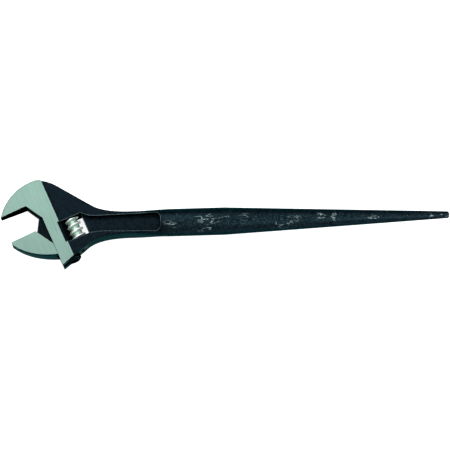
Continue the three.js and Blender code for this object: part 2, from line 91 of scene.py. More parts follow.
@dataclass(frozen=True)
class HeadFrame:
    """The head's own directions: u runs away from the mouth, v the way the sliding jaw closes.

    Its origin is the inner corner of the mouth, at the middle of the thickness, in millimetres.
    """

    origin: Vector
    away: Vector
    closing: Vector
    corner_height: float = 19.6
    face_to_corner: float = 20.0

    @classmethod
    def from_record(cls, record: dict) -> "HeadFrame":
        """Reads the head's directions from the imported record.

        Args:
            record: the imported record, with the sliding joint and the fixed jaw's mount.

        Returns:
            The head's frame in row millimetres.
        """
        slide = next(j for j in record["behaviour"]["joints"] if j["name"] == "jaw_slide")
        closing = -Vector(slide["axis"]).normalized()
        away = closing.cross(UP)
        mount = next(m for m in record["mounts"] if m["name"] == "fixed_jaw_face")
        origin = Vector(mount["pos_m"]) * TO_MM + away * cls.face_to_corner
        return cls(origin=origin, away=away, closing=closing)

    def at(self, u: float, v: float, z: float = 0.0) -> Vector:
        """The row point at u and v, z millimetres above the middle of the thickness."""
        return self.origin + self.away * u + self.closing * v + UP * z

    def handle(self, x: float, y: float, z: float = 0.0) -> Vector:
        """The row point x along the handle from below the mouth's corner, y beside its centre line."""
        return self.origin + Vector((x, y - self.corner_height, z))

    def u(self, point: Vector) -> float:
        """How far a point is from the throat wall, away from the mouth."""
        return (point - self.origin).dot(self.away)

    def v(self, point: Vector) -> float:
        """How far a point is above the fixed jaw's face."""
        return (point - self.origin).dot(self.closing)

    def z(self, point: Vector) -> float:
        """How far a point is above the middle of the thickness."""
        return point.z - self.origin.z

    def matrix(self, u: float, v: float) -> Matrix:
        """Places a shape whose own Z is the closing way and whose own X points at the mouth."""
        turn = Matrix((-self.away, UP, self.closing)).transposed()
        return Matrix.Translation(self.at(u, v)) @ turn.to_4x4()


class Outline:
    """A closed flat outline, given corner by corner, curve by curve."""

    def __init__(self, start: Vector) -> None:
        """Starts the outline at a point."""
        self.points = [start]

    def line(self, *corners: Vector) -> "Outline":
        """Goes straight through the corners."""
        self.points.extend(corners)
        return self

    def curve(self, pull: Vector, end: Vector, steps: int) -> "Outline":
        """Goes to an end point in a curve.

        Args:
            pull: the point that the curve is drawn towards.
            end: where it ends.
            steps: how many straight stretches it has.

        Returns:
            The outline itself.
        """
        start = self.points[-1]
        for i in range(1, steps + 1):
            t = i / steps
            self.points.append(start * (1 - t) ** 2 + pull * (2 * t * (1 - t)) + end * t**2)
        return self

    def arc(self, centre: Vector, radius: float, first: float, last: float, steps: int) -> "Outline":
        """Goes along a round arc.

        Args:
            centre: the arc's centre.
            radius: its radius.
            first: the angle it starts at, in radians.
            last: the angle it ends at.
            steps: how many straight stretches it has.

        Returns:
            The outline itself.
        """
        for i in range(steps + 1):
            a = first + (last - first) * i / steps
            self.points.append(centre + Vector((math.cos(a), math.sin(a), 0.0)) * radius)
        return self


# ---- The bench: one mesh under work -------------------------------------------------------------------


class Kind(Enum):
    """What a pick selects."""

    EDGES = "EDGE"
    FACES = "FACE"


class Joining(Enum):
    """How one shape is combined with another."""

    CUT = "DIFFERENCE"
    WELD = "UNION"
    COMMON = "INTERSECT"


class Workpiece:
    """A mesh on the bench, shaped with the modelling operators one step at a time."""

    def __init__(self, name: str) -> None:
        """Takes the active object onto the bench, places its transform in its mesh and names it.

        Args:
            name: what the piece and its mesh are called.
        """
        self.obj = bpy.context.object
        self.obj.name = name
        self.obj.data.name = name
        bpy.ops.object.transform_apply(location=True, rotation=True, scale=True)

    @staticmethod
    def clear_bench() -> None:
        """Leaves edit mode and deselects everything."""
        if bpy.context.object and bpy.context.object.mode != "OBJECT":
            bpy.ops.object.mode_set(mode="OBJECT")
        bpy.ops.object.select_all(action="DESELECT")

    @classmethod
    def traced(cls, name: str, points: Sequence[Vector], shift: Vector) -> "Workpiece":
        """Draws a line of edges vertex by vertex, and leaves it open in edit mode.

        Args:
            name: the new object's name.
            points: the line's points in order.
            shift: how far the whole line is moved.

        Returns:
            The line.
        """
        cls.clear_bench()
        bpy.ops.mesh.primitive_plane_add(size=1.0, location=(0, 0, 0))
        piece = cls(name)
        bpy.ops.object.mode_set(mode="EDIT")
        bpy.ops.mesh.select_mode(type="VERT")
        bpy.ops.mesh.select_all(action="SELECT")
        bpy.ops.mesh.merge(type="CENTER")
        bpy.ops.transform.translate(value=points[0] + shift)
        for start, end in zip(points, points[1:]):
            piece.pull(end - start)
        return piece

    @classmethod
    def drawn(cls, name: str, points: Sequence[Vector], pull: Vector) -> "Workpiece":
        """Draws a closed outline vertex by vertex, fills it and pulls it into a solid.

        Args:
            name: the new object's name.
            points: the outline's corners, all in one plane, without the first repeated.
            pull: the way and distance that the filled outline is pulled.

        Returns:
            The plate, with its faces pointing outwards.
        """
        piece = cls.traced(name, [*points, points[0]], Vector())
        bpy.ops.mesh.select_all(action="SELECT")
        bpy.ops.mesh.remove_doubles(threshold=MERGE_BELOW)
        bpy.ops.mesh.edge_face_add()
        piece.pull(pull)
        return piece.outwards()

    @classmethod
    def bar(cls, name: str, place: Matrix, radius: float, length: float, sides: int = 64) -> "Workpiece":
        """Turns a round bar.

        Args:
            name: the new object's name.
            place: puts the bar, whose own Z is its axis and whose origin is its lower end.
            radius: its radius.
            length: its length along its axis.
            sides: how many sides it has.

        Returns:
            The bar.
        """
        cls.clear_bench()
        bpy.ops.mesh.primitive_cylinder_add(
            vertices=sides, radius=radius, depth=length, location=(0, 0, length / 2)
        )
        bpy.ops.object.transform_apply(location=True)
        bpy.context.object.matrix_world = place
        return cls(name)

    def edit(self) -> bmesh.types.BMesh:
        """Opens the piece in edit mode with nothing selected, and returns its edit mesh.

        Returns:
            The edit mesh.
        """
        if bpy.context.object is not self.obj or self.obj.mode != "EDIT":
            self.clear_bench()
            bpy.context.view_layer.objects.active = self.obj
            self.obj.select_set(True)
            bpy.ops.object.mode_set(mode="EDIT")
        bpy.ops.mesh.select_all(action="DESELECT")
        return bmesh.from_edit_mesh(self.obj.data)

    def close(self) -> "Workpiece":
        """Leaves edit mode with only this piece selected.

        Returns:
            This piece.
        """
        self.clear_bench()
        bpy.context.view_layer.objects.active = self.obj
        self.obj.select_set(True)
        return self

    def pick(self, kind: Kind, test: Callable[[object], bool]) -> int:
        """Selects the edges or faces that pass a test, and nothing else.

        Args:
            kind: edges or faces.
            test: says of one edit-mesh edge or face whether it is picked.

        Returns:
            How many were picked.
        """
        self.edit()
        bpy.ops.mesh.select_mode(type=kind.value)
        mesh = bmesh.from_edit_mesh(self.obj.data)
        mesh.normal_update()
        found = [item for item in (mesh.edges if kind is Kind.EDGES else mesh.faces) if test(item)]
        for item in found:
            item.select_set(True)
        bmesh.update_edit_mesh(self.obj.data)
        return len(found)

    def outwards(self) -> "Workpiece":
        """Merges doubles and turns every face outwards.

        Returns:
            This piece.
        """
        self.edit()
        bpy.ops.mesh.select_all(action="SELECT")
        bpy.ops.mesh.remove_doubles(threshold=MERGE_BELOW)
        bpy.ops.mesh.normals_make_consistent(inside=False)
        return self.close()

    def pull(self, by: Vector) -> None:
        """Extrudes what is picked."""
        bpy.ops.mesh.extrude_region_move(TRANSFORM_OT_translate={"value": by})

    def round_off(self, width: float, segments: int) -> None:
        """Bevels the picked edges with a round profile."""
        bpy.ops.mesh.bevel(offset=width, segments=segments, affect="EDGES", clamp_overlap=False)

    def break_ends(self, width: float, segments: int) -> "Workpiece":
        """Bevels the rims of a round bar's two flat ends.

        Args:
            width: how wide the bevel is.
            segments: how many steps it has.

        Returns:
            This piece.
        """
        self.pick(Kind.EDGES, lambda edge: any(len(face.verts) > QUAD for face in edge.link_faces))
        self.round_off(width, segments)
        return self.close()

    def slice_off(self, point: Vector, normal: Vector) -> None:
        """Cuts the piece with a plane, takes away the side its normal points to and closes the cut.

        Args:
            point: a point of the plane.
            normal: the plane's normal.
        """
        self.pick(Kind.FACES, lambda face: True)
        bpy.ops.mesh.bisect(
            plane_co=point, plane_no=normal, clear_outer=True, use_fill=True, threshold=CUT_BELOW
        )

    def modify(self, name: str, kind: str, **settings: object) -> "Workpiece":
        """Adds a modifier and applies it.

        Args:
            name: the modifier's name.
            kind: its Blender type.
            settings: its properties.

        Returns:
            This piece.
        """
        self.close()
        modifier = self.obj.modifiers.new(name, kind)
        for key, value in settings.items():
            setattr(modifier, key, value)
        bpy.ops.object.modifier_apply(modifier=modifier.name)
        return self

    def combine(self, other: "Workpiece", how: Joining) -> "Workpiece":
        """Cuts, welds or intersects this piece with another, which is used up.

        Args:
            other: the other piece.
            how: cut, weld or keep what is common.

        Returns:
            This piece.
        """
        self.modify(how.name.lower(), "BOOLEAN", operation=how.value, solver="EXACT", object=other.obj)
        bpy.data.objects.remove(other.obj)
        return self

    def soften(self, width: float, angle: float, segments: int = 2) -> "Workpiece":
        """Breaks every sharp edge with a small round.

        Args:
            width: the round's width.
            angle: edges sharper than this many degrees are broken.
            segments: the round's steps.

        Returns:
            This piece.
        """
        return self.modify(
            "broken edges",
            "BEVEL",
            width=width,
            segments=segments,
            limit_method="ANGLE",
            angle_limit=math.radians(angle),
            use_clamp_overlap=True,
        )

    def to_metres(self) -> bpy.types.Object:
        """Brings the finished piece to metres, smooths its round surfaces and takes it off the bench.

        Returns:
            The finished mesh object.
        """
        self.close()
        self.obj.scale = (TO_METRES,) * 3
        bpy.ops.object.transform_apply(location=True, rotation=True, scale=True)
        bpy.ops.object.shade_smooth_by_angle(angle=SMOOTH_BELOW)
        self.modify("flat stays flat", "WEIGHTED_NORMAL", mode="FACE_AREA", weight=100, keep_sharp=True)
        bpy.ops.object.select_all(action="DESELECT")
        return self.obj


# ---- Finishes -----------------------------------------------------------------------------------------


def linear(colour: str) -> tuple[float, float, float, float]:
    """A colour for the shader.

    Args:
        colour: the sRGB colour as six hex digits.

    Returns:
        The same colour in linear light, with full opacity.
    """
    parts = [int(colour[i : i + 2], 16) / 255 for i in (0, 2, 4)]
    light = [c / 12.92 if c <= 0.04045 else ((c + 0.055) / 1.055) ** 2.4 for c in parts]
    return (light[0], light[1], light[2], 1.0)


def per_metre(size_mm: float) -> float:
    """The pattern scale that gives a feature of this size in millimetres."""
    return TO_MM / size_mm


class NodeBench:
    """One material's node tree, built node by node."""

    edge_samples = 4
    edge_bend = (0.99, 0.86)

    def __init__(self, name: str) -> None:
        """Starts a material with its shader, its output and the surface's own place in metres.

        Args:
            name: what the material is called.
        """
        self.material = bpy.data.materials.new(name)
        self.material.use_nodes = True
        self.tree = self.material.node_tree
        self.shader = self.tree.nodes["Principled BSDF"]
        self.place = self.add("TexCoord", {}, "Object")

    def add(self, kind: str, settings: dict, output: int | str = 0, **links: Socket) -> Socket:
        """Adds a node.

        Args:
            kind: the node's Blender type, without the word ShaderNode.
            settings: its properties, its input values by socket name or number, and under stops a
                place and an sRGB hex colour for each of its colour stops.
            output: the name or number of the output that is wanted.
            links: an output socket for each input, named with underscores for spaces, or in_ and the
                input's number.

        Returns:
            The output.
        """
        node = self.tree.nodes.new("ShaderNode" + kind)
        for key, value in settings.items():
            if key == "stops":
                for stop, (place, colour) in zip(node.color_ramp.elements, value):
                    stop.position = place
                    stop.color = linear(colour)
            elif isinstance(key, int) or key in node.inputs:
                node.inputs[key].default_value = value
            else:
                setattr(node, key, value)
        for key, source in links.items():
            socket = int(key[3:]) if key.startswith("in_") else key.replace("_", " ")
            self.tree.links.new(source, node.inputs[socket])
        return node.outputs[output]

    def drawn_grain(self, head: HeadFrame, sizes_mm: Sizes, detail: float, roughness: float = 0.6) -> Socket:
        """A grain drawn out along the head's directions.

        Args:
            head: the head's frame.
            sizes_mm: a feature's size away from the mouth, along the closing way and upwards.
            detail: how many finer layers it has.
            roughness: how strong those are.

        Returns:
            The grain, from 0 to 1.
        """
        angle = math.atan2(head.away.y, head.away.x)
        turned = self.add("VectorRotate", {"rotation_type": "Z_AXIS", "Angle": -angle}, Vector=self.place)
        drawn = self.add("Mapping", {"Scale": tuple(per_metre(size) for size in sizes_mm)}, Vector=turned)
        settings = {"Scale": 1.0, "Detail": detail, "Roughness": roughness}
        return self.add("TexNoise", settings, "Fac", Vector=drawn)

    def distance(self, way: Vector, start: Vector) -> Socket:
        """How far the surface is along a way, from a start in millimetres, in metres.

        Args:
            way: the direction, of length 1.
            start: where the distance is 0.

        Returns:
            The distance.
        """
        settings = {"operation": "DOT_PRODUCT", 1: tuple(way)}
        product = self.add("VectorMath", settings, "Value", in_0=self.place)
        return self.add("Math", {"operation": "SUBTRACT", 1: start.dot(way) * TO_METRES}, in_0=product)

    def edge_abrasion_and_highlight(self, width_mm: float, strength: float) -> Socket:
        """From 0 on flats to a strength on edges, this wide: partly where a skin is thinned by abrasion,
        partly painted highlight.

        Args:
            width_mm: how far from an edge it reaches.
            strength: its value on the edge.

        Returns:
            The mask.
        """
        flat = self.add("NewGeometry", {}, "Normal")
        rounded = self.add("Bevel", {"samples": self.edge_samples, "Radius": width_mm * TO_METRES})
        bend = self.add("VectorMath", {"operation": "DOT_PRODUCT"}, "Value", in_0=flat, in_1=rounded)
        low, high = self.edge_bend
        return self.add("MapRange", {1: low, 2: high, 4: strength}, in_0=bend)

    def paint(self, colour: Socket) -> None:
        """Gives the shader its varying base colour."""
        self.tree.links.new(colour, self.shader.inputs["Base Color"])

    def finish(
        self, roughness: float | Socket, bump: Socket, depth_mm: float, **uniform: object
    ) -> bpy.types.Material:
        """Connects the shader.

        Args:
            roughness: a number, or the output that varies it.
            bump: the output that raises the surface, from 0 to 1.
            depth_mm: how high that relief is.
            uniform: the shader's own values, named with underscores for spaces.

        Returns:
            The finished material.
        """
        for key, value in uniform.items():
            self.shader.inputs[key.replace("_", " ")].default_value = value
        if isinstance(roughness, float):
            self.shader.inputs["Roughness"].default_value = roughness
        else:
            self.tree.links.new(roughness, self.shader.inputs["Roughness"])
        relief = self.add("Bump", {"Distance": depth_mm * TO_METRES}, Height=bump)
        self.tree.links.new(relief, self.shader.inputs["Normal"])
        return self.material


@dataclass(frozen=True)
class GripCrestBand:
    """Where the grip's crest band lies, lighter partly from abrasion and partly as painted sheen: along
    its crest, from the neck to the point, in millimetres.
    """

    start: float
    taper_start: float
    end: float
    centre_y: float
    radius: float
    point_radius: float


@dataclass(frozen=True)
class BlackOxide:
    """Black oxide on forged alloy steel: a thin dark conversion skin over the forging's own texture.

    Gives the eye a blue-black metal with a soft sheen, mottled where the scale came off, with
    the forging's fine pitting, edges lighter from abrasion and painted highlight, inner corners
    darkened with painted shade, and along the grip a speckled lighter crest band, partly abrasion
    and partly painted sheen, with pale scuffs. The real pits are about 0.3 mm, so they are drawn
    coarser to show.
    """

    name: str = "black_oxide_on_forging"
    deep: str = "05090C"
    lifted: str = "111B22"
    # lighter colour of edges and of the grip's speckles: partly abrasion, partly painted highlight
    abrasion_and_highlight: str = "6E878C"
    # colour of the grip's lighter crest band: partly abrasion, partly painted sheen
    rub_and_sheen_colour: str = "1D3139"
    scuff: str = "A2BABB"
    grazing: str = "A2BCBC"
    noise_roughness: float = 0.6
    mottle_mm: float = 3.2
    mottle_detail: float = 5.0
    mottle_share: float = 0.6
    pit_mm: float = 1.0
    pit_detail: float = 3.0
    skin_ends: Span = (0.36, 0.66)
    # how the grain breaks up the grip's lighter crest band, partly abrasion and partly painted sheen
    rub_and_sheen: Stretch = (0.38, 0.62, 0.15, 0.85)
    speckle: Stretch = (0.56, 0.7, 0.0, 0.3)
    crest_shift: float = 0.25
    crest_width: Stretch = (0.1, 0.85, 1.0, 0.0)
    crest_start_mm: float = 8.0
    scuff_crest: Stretch = (0.2, 0.6, 0.0, 1.0)
    scuff_stretch: Sizes = (0.4, 1.0, 1.0)
    scuff_mm: float = 4.6
    scuff_detail: float = 3.0
    scuff_line: Stretch = (0.003, 0.024, 1.0, 0.0)
    patch_mm: float = 11.0
    patch_detail: float = 2.0
    patches: Stretch = (0.53, 0.63, 0.0, 1.0)
    edge_mm: float = 0.8
    edge_strength: float = 0.75
    edge_broken: Stretch = (0.35, 0.6, 0.3, 1.0)
    behind_pad_mm: Span = (10.5, 12.5)
    # painted shade in inner corners: its reach, its samples and how dark it gets
    painted_shade_reach_mm: float = 5.0
    painted_shade_samples: int = 8
    painted_shade_range: Stretch = (0.35, 0.95, 0.25, 1.0)
    roughness: Stretch = (0.35, 0.65, 0.34, 0.5)
    rubbed_roughness: float = 0.15
    relief_mm: float = 0.05

    def material(self, head: HeadFrame, crest_band: GripCrestBand) -> bpy.types.Material:
        """Makes the material.

        Args:
            head: the head's frame, for where the ground jaws end.
            crest_band: where the grip's crest band lies, lighter partly from abrasion, partly as painted
                sheen.

        Returns:
            The black oxide material.
        """
        bench = NodeBench(self.name)
        mottle, pits = (
            bench.add(
                "TexNoise",
                {"Scale": per_metre(size), "Detail": detail, "Roughness": self.noise_roughness},
                "Fac",
                Vector=bench.place,
            )
            for size, detail in ((self.mottle_mm, self.mottle_detail), (self.pit_mm, self.pit_detail))
        )
        fine = bench.add("Math", {"operation": "MULTIPLY", 1: 1 - self.mottle_share}, in_0=pits)
        settings = {"operation": "MULTIPLY_ADD", 1: self.mottle_share}
        grain = bench.add("Math", settings, in_0=mottle, in_2=fine)
        crest = self._crest(bench, crest_band)
        # the grip's crest band is painted lighter and speckled, partly abrasion and partly painted sheen
        rub_and_sheen_grain = bench.add("MapRange", dict(enumerate(self.rub_and_sheen, 1)), in_0=grain)
        rub_and_sheen = bench.add("Math", {"operation": "MULTIPLY"}, in_0=crest, in_1=rub_and_sheen_grain)
        speckle_pits = bench.add("MapRange", dict(enumerate(self.speckle, 1)), in_0=pits)
        speckle = bench.add("Math", {"operation": "MULTIPLY"}, in_0=crest, in_1=speckle_pits)
        # edges painted lighter, partly abrasion and partly painted highlight
        edge = self._edges(bench, pits, head)
        scuffs = self._scuffs(bench, crest)
        low, high = self.skin_ends
        skin = bench.add("ValToRGB", {"stops": ((low, self.deep), (high, self.lifted))}, Fac=grain)
        bright = bench.add("Math", {"operation": "MAXIMUM"}, in_0=edge, in_1=speckle)
        # mixes in the crest band, the lighter edges and speckles, and the scuffs; band and edges are partly
        # painted sheen and highlight
        for colour, mask in ((self.rub_and_sheen_colour, rub_and_sheen), (self.abrasion_and_highlight, bright), (self.scuff, scuffs)):
            settings = {"data_type": "RGBA", 7: linear(colour)}
            skin = bench.add("Mix", settings, 2, in_0=mask, in_6=skin)
        # the colour gets painted shade in inner corners before it goes to the shader
        bench.paint(self._painted_corner_shade(bench, skin))
        rough = bench.add("MapRange", dict(enumerate(self.roughness, 1)), in_0=grain)
        used = bench.add("Math", {"operation": "ADD"}, in_0=scuffs, in_1=rub_and_sheen)
        settings = {"operation": "MULTIPLY_ADD", 1: self.rubbed_roughness}
        rough = bench.add("Math", settings, in_0=used, in_2=rough)
        grazing = linear(self.grazing)
        return bench.finish(rough, grain, self.relief_mm, Metallic=1.0, Specular_Tint=grazing)

    def _painted_corner_shade(self, bench: NodeBench, base: Socket) -> Socket:
        """Paints shade into the skin in inner corners, darker the more closed in each point is.

        Args:
            bench: the material's bench.
            base: the colour to darken.

        Returns:
            The darkened colour.
        """
        settings = {"samples": self.painted_shade_samples, "Distance": self.painted_shade_reach_mm * TO_METRES}
        open_sky = bench.add("AmbientOcclusion", settings, "AO")
        shade = bench.add("MapRange", dict(enumerate(self.painted_shade_range, 1)), in_0=open_sky)
        settings = {"data_type": "RGBA", "blend_type": "MULTIPLY", 0: 1.0}
        return bench.add("Mix", settings, 2, in_6=base, in_7=shade)

    def _edges(self, bench: NodeBench, pits: Socket, head: HeadFrame) -> Socket:
        """Lighter edges behind the ground jaws, broken up by the pits: partly skin thinned by abrasion,
        partly painted highlight.

        Args:
            bench: the material's bench.
            pits: the forging's fine pitting.
            head: the head's frame.

        Returns:
            The mask.
        """
        mask = bench.edge_abrasion_and_highlight(self.edge_mm, self.edge_strength)
        broken = bench.add("MapRange", dict(enumerate(self.edge_broken, 1)), in_0=pits)
        mask = bench.add("Math", {"operation": "MULTIPLY"}, in_0=mask, in_1=broken)
        first, last = (reach * TO_METRES for reach in self.behind_pad_mm)
        behind = bench.add("MapRange", {1: first, 2: last}, in_0=bench.distance(head.away, head.origin))
        return bench.add("Math", {"operation": "MULTIPLY"}, in_0=mask, in_1=behind)

    def _crest(self, bench: NodeBench, crest_band: GripCrestBand) -> Socket:
        """From 1 on the crest of the round grip, a little to its lower side, to 0 at its sides.

        Args:
            bench: the material's bench.
            crest_band: where the grip's crest band lies.

        Returns:
            The mask.
        """
        along = bench.add("SeparateXYZ", {}, "X", Vector=bench.place)
        aside = along.node.outputs["Y"]
        taper = (crest_band.taper_start, crest_band.end, crest_band.radius, crest_band.point_radius)
        settings = {i: size * TO_METRES for i, size in enumerate(taper, 1)}
        radius = bench.add("MapRange", settings, in_0=along)
        off = bench.add("Math", {"operation": "SUBTRACT", 1: crest_band.centre_y * TO_METRES}, in_0=aside)
        share = bench.add("Math", {"operation": "DIVIDE"}, in_0=off, in_1=radius)
        share = bench.add("Math", {"operation": "ADD", 1: self.crest_shift}, in_0=share)
        share = bench.add("Math", {"operation": "ABSOLUTE"}, in_0=share)
        across = bench.add("MapRange", dict(enumerate(self.crest_width, 1)), in_0=share)
        start, full = (x * TO_METRES for x in (crest_band.start, crest_band.start + self.crest_start_mm))
        begun = bench.add("MapRange", {1: start, 2: full}, in_0=along)
        return bench.add("Math", {"operation": "MULTIPLY"}, in_0=across, in_1=begun)

    def _scuffs(self, bench: NodeBench, crest: Socket) -> Socket:
        """Thin crooked scratches in clusters: the contour lines of a noise, kept only in patches.

        Args:
            bench: the material's bench.
            crest: the mask of the grip's crest, where they lie.

        Returns:
            The mask.
        """
        stretched = bench.add("Mapping", {"Scale": self.scuff_stretch}, Vector=bench.place)
        heights, clouds = (
            bench.add(
                "TexNoise",
                {"Scale": per_metre(size), "Detail": detail, "Roughness": self.noise_roughness},
                "Fac",
                Vector=stretched,
            )
            for size, detail in ((self.scuff_mm, self.scuff_detail), (self.patch_mm, self.patch_detail))
        )
        contour = bench.add("Math", {"operation": "SUBTRACT", 1: 0.5}, in_0=heights)
        contour = bench.add("Math", {"operation": "ABSOLUTE"}, in_0=contour)
        mask = bench.add("MapRange", dict(enumerate(self.scuff_line, 1)), in_0=contour)
        for limits, value in ((self.patches, clouds), (self.scuff_crest, crest)):
            kept = bench.add("MapRange", dict(enumerate(limits, 1)), in_0=value)
            mask = bench.add("Math", {"operation": "MULTIPLY"}, in_0=mask, in_1=kept)
        return mask


@dataclass(frozen=True)
class GroundSteel:
    """Alloy steel ground bright on a belt: fine parallel scratches along the jaw's closing way.

    Gives the eye a flat satin grey face whose sheen is drawn out across the scratches. The real
    scratches are about 0.1 mm apart, too fine to show, so they are drawn as coarse as they need to be.
    """

    light: str = "738C83"
    dark: str = "607971"
    grain_mm: Sizes = (0.9, 26.0, 6.0)
    grain_detail: float = 4.0
    grain_share: float = 0.75
    cloud_mm: float = 22.0
    cloud_detail: float = 2.0
    cloud_roughness: float = 0.5
    tone_ends: Span = (0.34, 0.66)
    roughness: Stretch = (0.3, 0.7, 0.36, 0.46)
    relief_mm: float = 0.012

    def material(self, head: HeadFrame) -> bpy.types.Material:
        """Makes the material.

        Args:
            head: the head's frame, whose closing way the scratches follow.

        Returns:
            The ground steel material.
        """
        bench = NodeBench("belt_ground_alloy_steel")
        grain = bench.drawn_grain(head, self.grain_mm, self.grain_detail)
        settings = {
            "Scale": per_metre(self.cloud_mm),
            "Detail": self.cloud_detail,
            "Roughness": self.cloud_roughness,
        }
        cloud = bench.add("TexNoise", settings, "Fac", Vector=bench.place)
        cloud = bench.add("Math", {"operation": "MULTIPLY", 1: 1 - self.grain_share}, in_0=cloud)
        settings = {"operation": "MULTIPLY_ADD", 1: self.grain_share}
        tone = bench.add("Math", settings, in_0=grain, in_2=cloud)
        low, high = self.tone_ends
        bench.paint(bench.add("ValToRGB", {"stops": ((low, self.dark), (high, self.light))}, Fac=tone))
        rough = bench.add("MapRange", dict(enumerate(self.roughness, 1)), in_0=grain)
        return bench.finish(rough, grain, self.relief_mm, Metallic=1.0)


@dataclass(frozen=True)
class MilledOxideAndShade:
    """Black oxide over milled steel: the mouth, the slot, the window, the web and the rack, kept darker
    than the forging as painted shade for these faces.

    Gives the eye a near-black, smoother metal than the forging, with faint cutter marks. The real
    marks are about 0.2 mm apart, so they are drawn coarser to show.
    """

    # near-black colours that paint shade onto the milled faces, over a real black oxide
    deep: str = "040709"
    lifted: str = "0C1317"
    # lighter colour of edges: partly abrasion, partly painted highlight
    abrasion_and_highlight: str = "5C757A"
    # dark grazing tint that keeps these faces dim as painted shade
    grazing: str = "566E70"
    mark_mm: Sizes = (0.8, 9.0, 0.8)
    mark_detail: float = 3.0
    skin_ends: Span = (0.35, 0.68)
    edge_mm: float = 0.45
    edge_strength: float = 0.55
    roughness: Stretch = (0.3, 0.7, 0.3, 0.42)
    relief_mm: float = 0.01

    def material(self, head: HeadFrame) -> bpy.types.Material:
        """Makes the material.

        Args:
            head: the head's frame, whose closing way the cutter marks follow.

        Returns:
            The milled black material.
        """
        bench = NodeBench("milled_black_oxide_and_painted_shade")
        marks = bench.drawn_grain(head, self.mark_mm, self.mark_detail)
        low, high = self.skin_ends
        skin = bench.add("ValToRGB", {"stops": ((low, self.deep), (high, self.lifted))}, Fac=marks)
        # edges painted lighter, partly abrasion and partly painted highlight
        edge = bench.edge_abrasion_and_highlight(self.edge_mm, self.edge_strength)
        settings = {"data_type": "RGBA", 7: linear(self.abrasion_and_highlight)}
        bench.paint(bench.add("Mix", settings, 2, in_0=edge, in_6=skin))
        rough = bench.add("MapRange", dict(enumerate(self.roughness, 1)), in_0=marks)
        grazing = linear(self.grazing)
        return bench.finish(rough, marks, self.relief_mm, Metallic=1.0, Specular_Tint=grazing)


@dataclass(frozen=True)
class ThreadSteel:
    """Turned bright steel of the thumb worm, white on its crests: partly polish from thumb and rack,
    partly painted highlight.

    Gives the eye satin, slightly green grooves with the lathe's fine rings between bright crests.
    """

    groove_light: str = "CFE8DA"
    groove_dark: str = "86AA99"
    # white of the crests: partly polish, partly painted highlight
    crest: str = "FFFFFF"
    ring_mm: float = 0.5
    ring_detail: float = 2.0
    ring_ends: Span = (0.3, 0.7)
    below_crest_mm: Span = (0.55, 0.15)
    roughness: Stretch = (0.0, 1.0, 0.5, 0.36)
    metal: float = 0.7
    relief_mm: float = 0.012

    def material(self, head: HeadFrame, axis_u: float, radius: float) -> bpy.types.Material:
        """Makes the material.

        Args:
            head: the head's frame, whose closing way is the worm's axis.
            axis_u: where the axis is, from the throat corner.
            radius: the radius of the crests.

        Returns:
            The thread's material.
        """
        bench = NodeBench("turned_worm_steel")
        axis = head.at(axis_u, 0)
        squares = []
        for way in (head.away, UP):
            size = bench.add("Math", {"operation": "ABSOLUTE"}, in_0=bench.distance(way, axis))
            squares.append(bench.add("Math", {"operation": "POWER", 1: 2.0}, in_0=size))
        out = bench.add("Math", {"operation": "ADD"}, in_0=squares[0], in_1=squares[1])
        out = bench.add("Math", {"operation": "SQRT"}, in_0=out)
        groove_end, crest_start = ((radius - depth) * TO_METRES for depth in self.below_crest_mm)
        crest = bench.add("MapRange", {1: groove_end, 2: crest_start}, in_0=out)
        settings = {"noise_dimensions": "1D", "Scale": per_metre(self.ring_mm), "Detail": self.ring_detail}
        rings = bench.add("TexNoise", settings, "Fac", W=bench.distance(head.closing, axis))
        low, high = self.ring_ends
        settings = {"stops": ((low, self.groove_dark), (high, self.groove_light))}
        groove = bench.add("ValToRGB", settings, Fac=rings)
        # crests painted white: partly polish, partly painted highlight
        settings = {"data_type": "RGBA", 7: linear(self.crest)}
        bench.paint(bench.add("Mix", settings, 2, in_0=crest, in_6=groove))
        rough = bench.add("MapRange", dict(enumerate(self.roughness, 1)), in_0=crest)
        return bench.finish(rough, rings, self.relief_mm, Metallic=self.metal)


@dataclass(frozen=True)
class TurnedSteel:
    """Turned or drawn bright steel: rings left by the tool around the piece's own axis."""

    name: str
    light: str
    dark: str
    ring_mm: float
    roughness: float
    around_mm: float = 4.0
    detail: float = 3.0
    noise_roughness: float = 0.55
    ring_ends: Span = (0.3, 0.7)
    roughness_spread: Span = (0.05, 0.07)
    relief_mm: float = 0.006

    def material(self, head: HeadFrame) -> bpy.types.Material:
        """Makes the material.

        Args:
            head: the head's frame, whose closing way is the piece's axis.

        Returns:
            The turned steel material.
        """
        bench = NodeBench(self.name)
        sizes = (self.around_mm, self.ring_mm, self.around_mm)
        rings = bench.drawn_grain(head, sizes, self.detail, self.noise_roughness)
        low, high = self.ring_ends
        bench.paint(bench.add("ValToRGB", {"stops": ((low, self.dark), (high, self.light))}, Fac=rings))
        less, more = self.roughness_spread
        settings = {1: low, 2: high, 3: self.roughness - less, 4: self.roughness + more}
        rough = bench.add("MapRange", settings, in_0=rings)
        return bench.finish(rough, rings, self.relief_mm, Metallic=1.0)


# ---- Shared sizes of the ground jaws ------------------------------------------------------------------


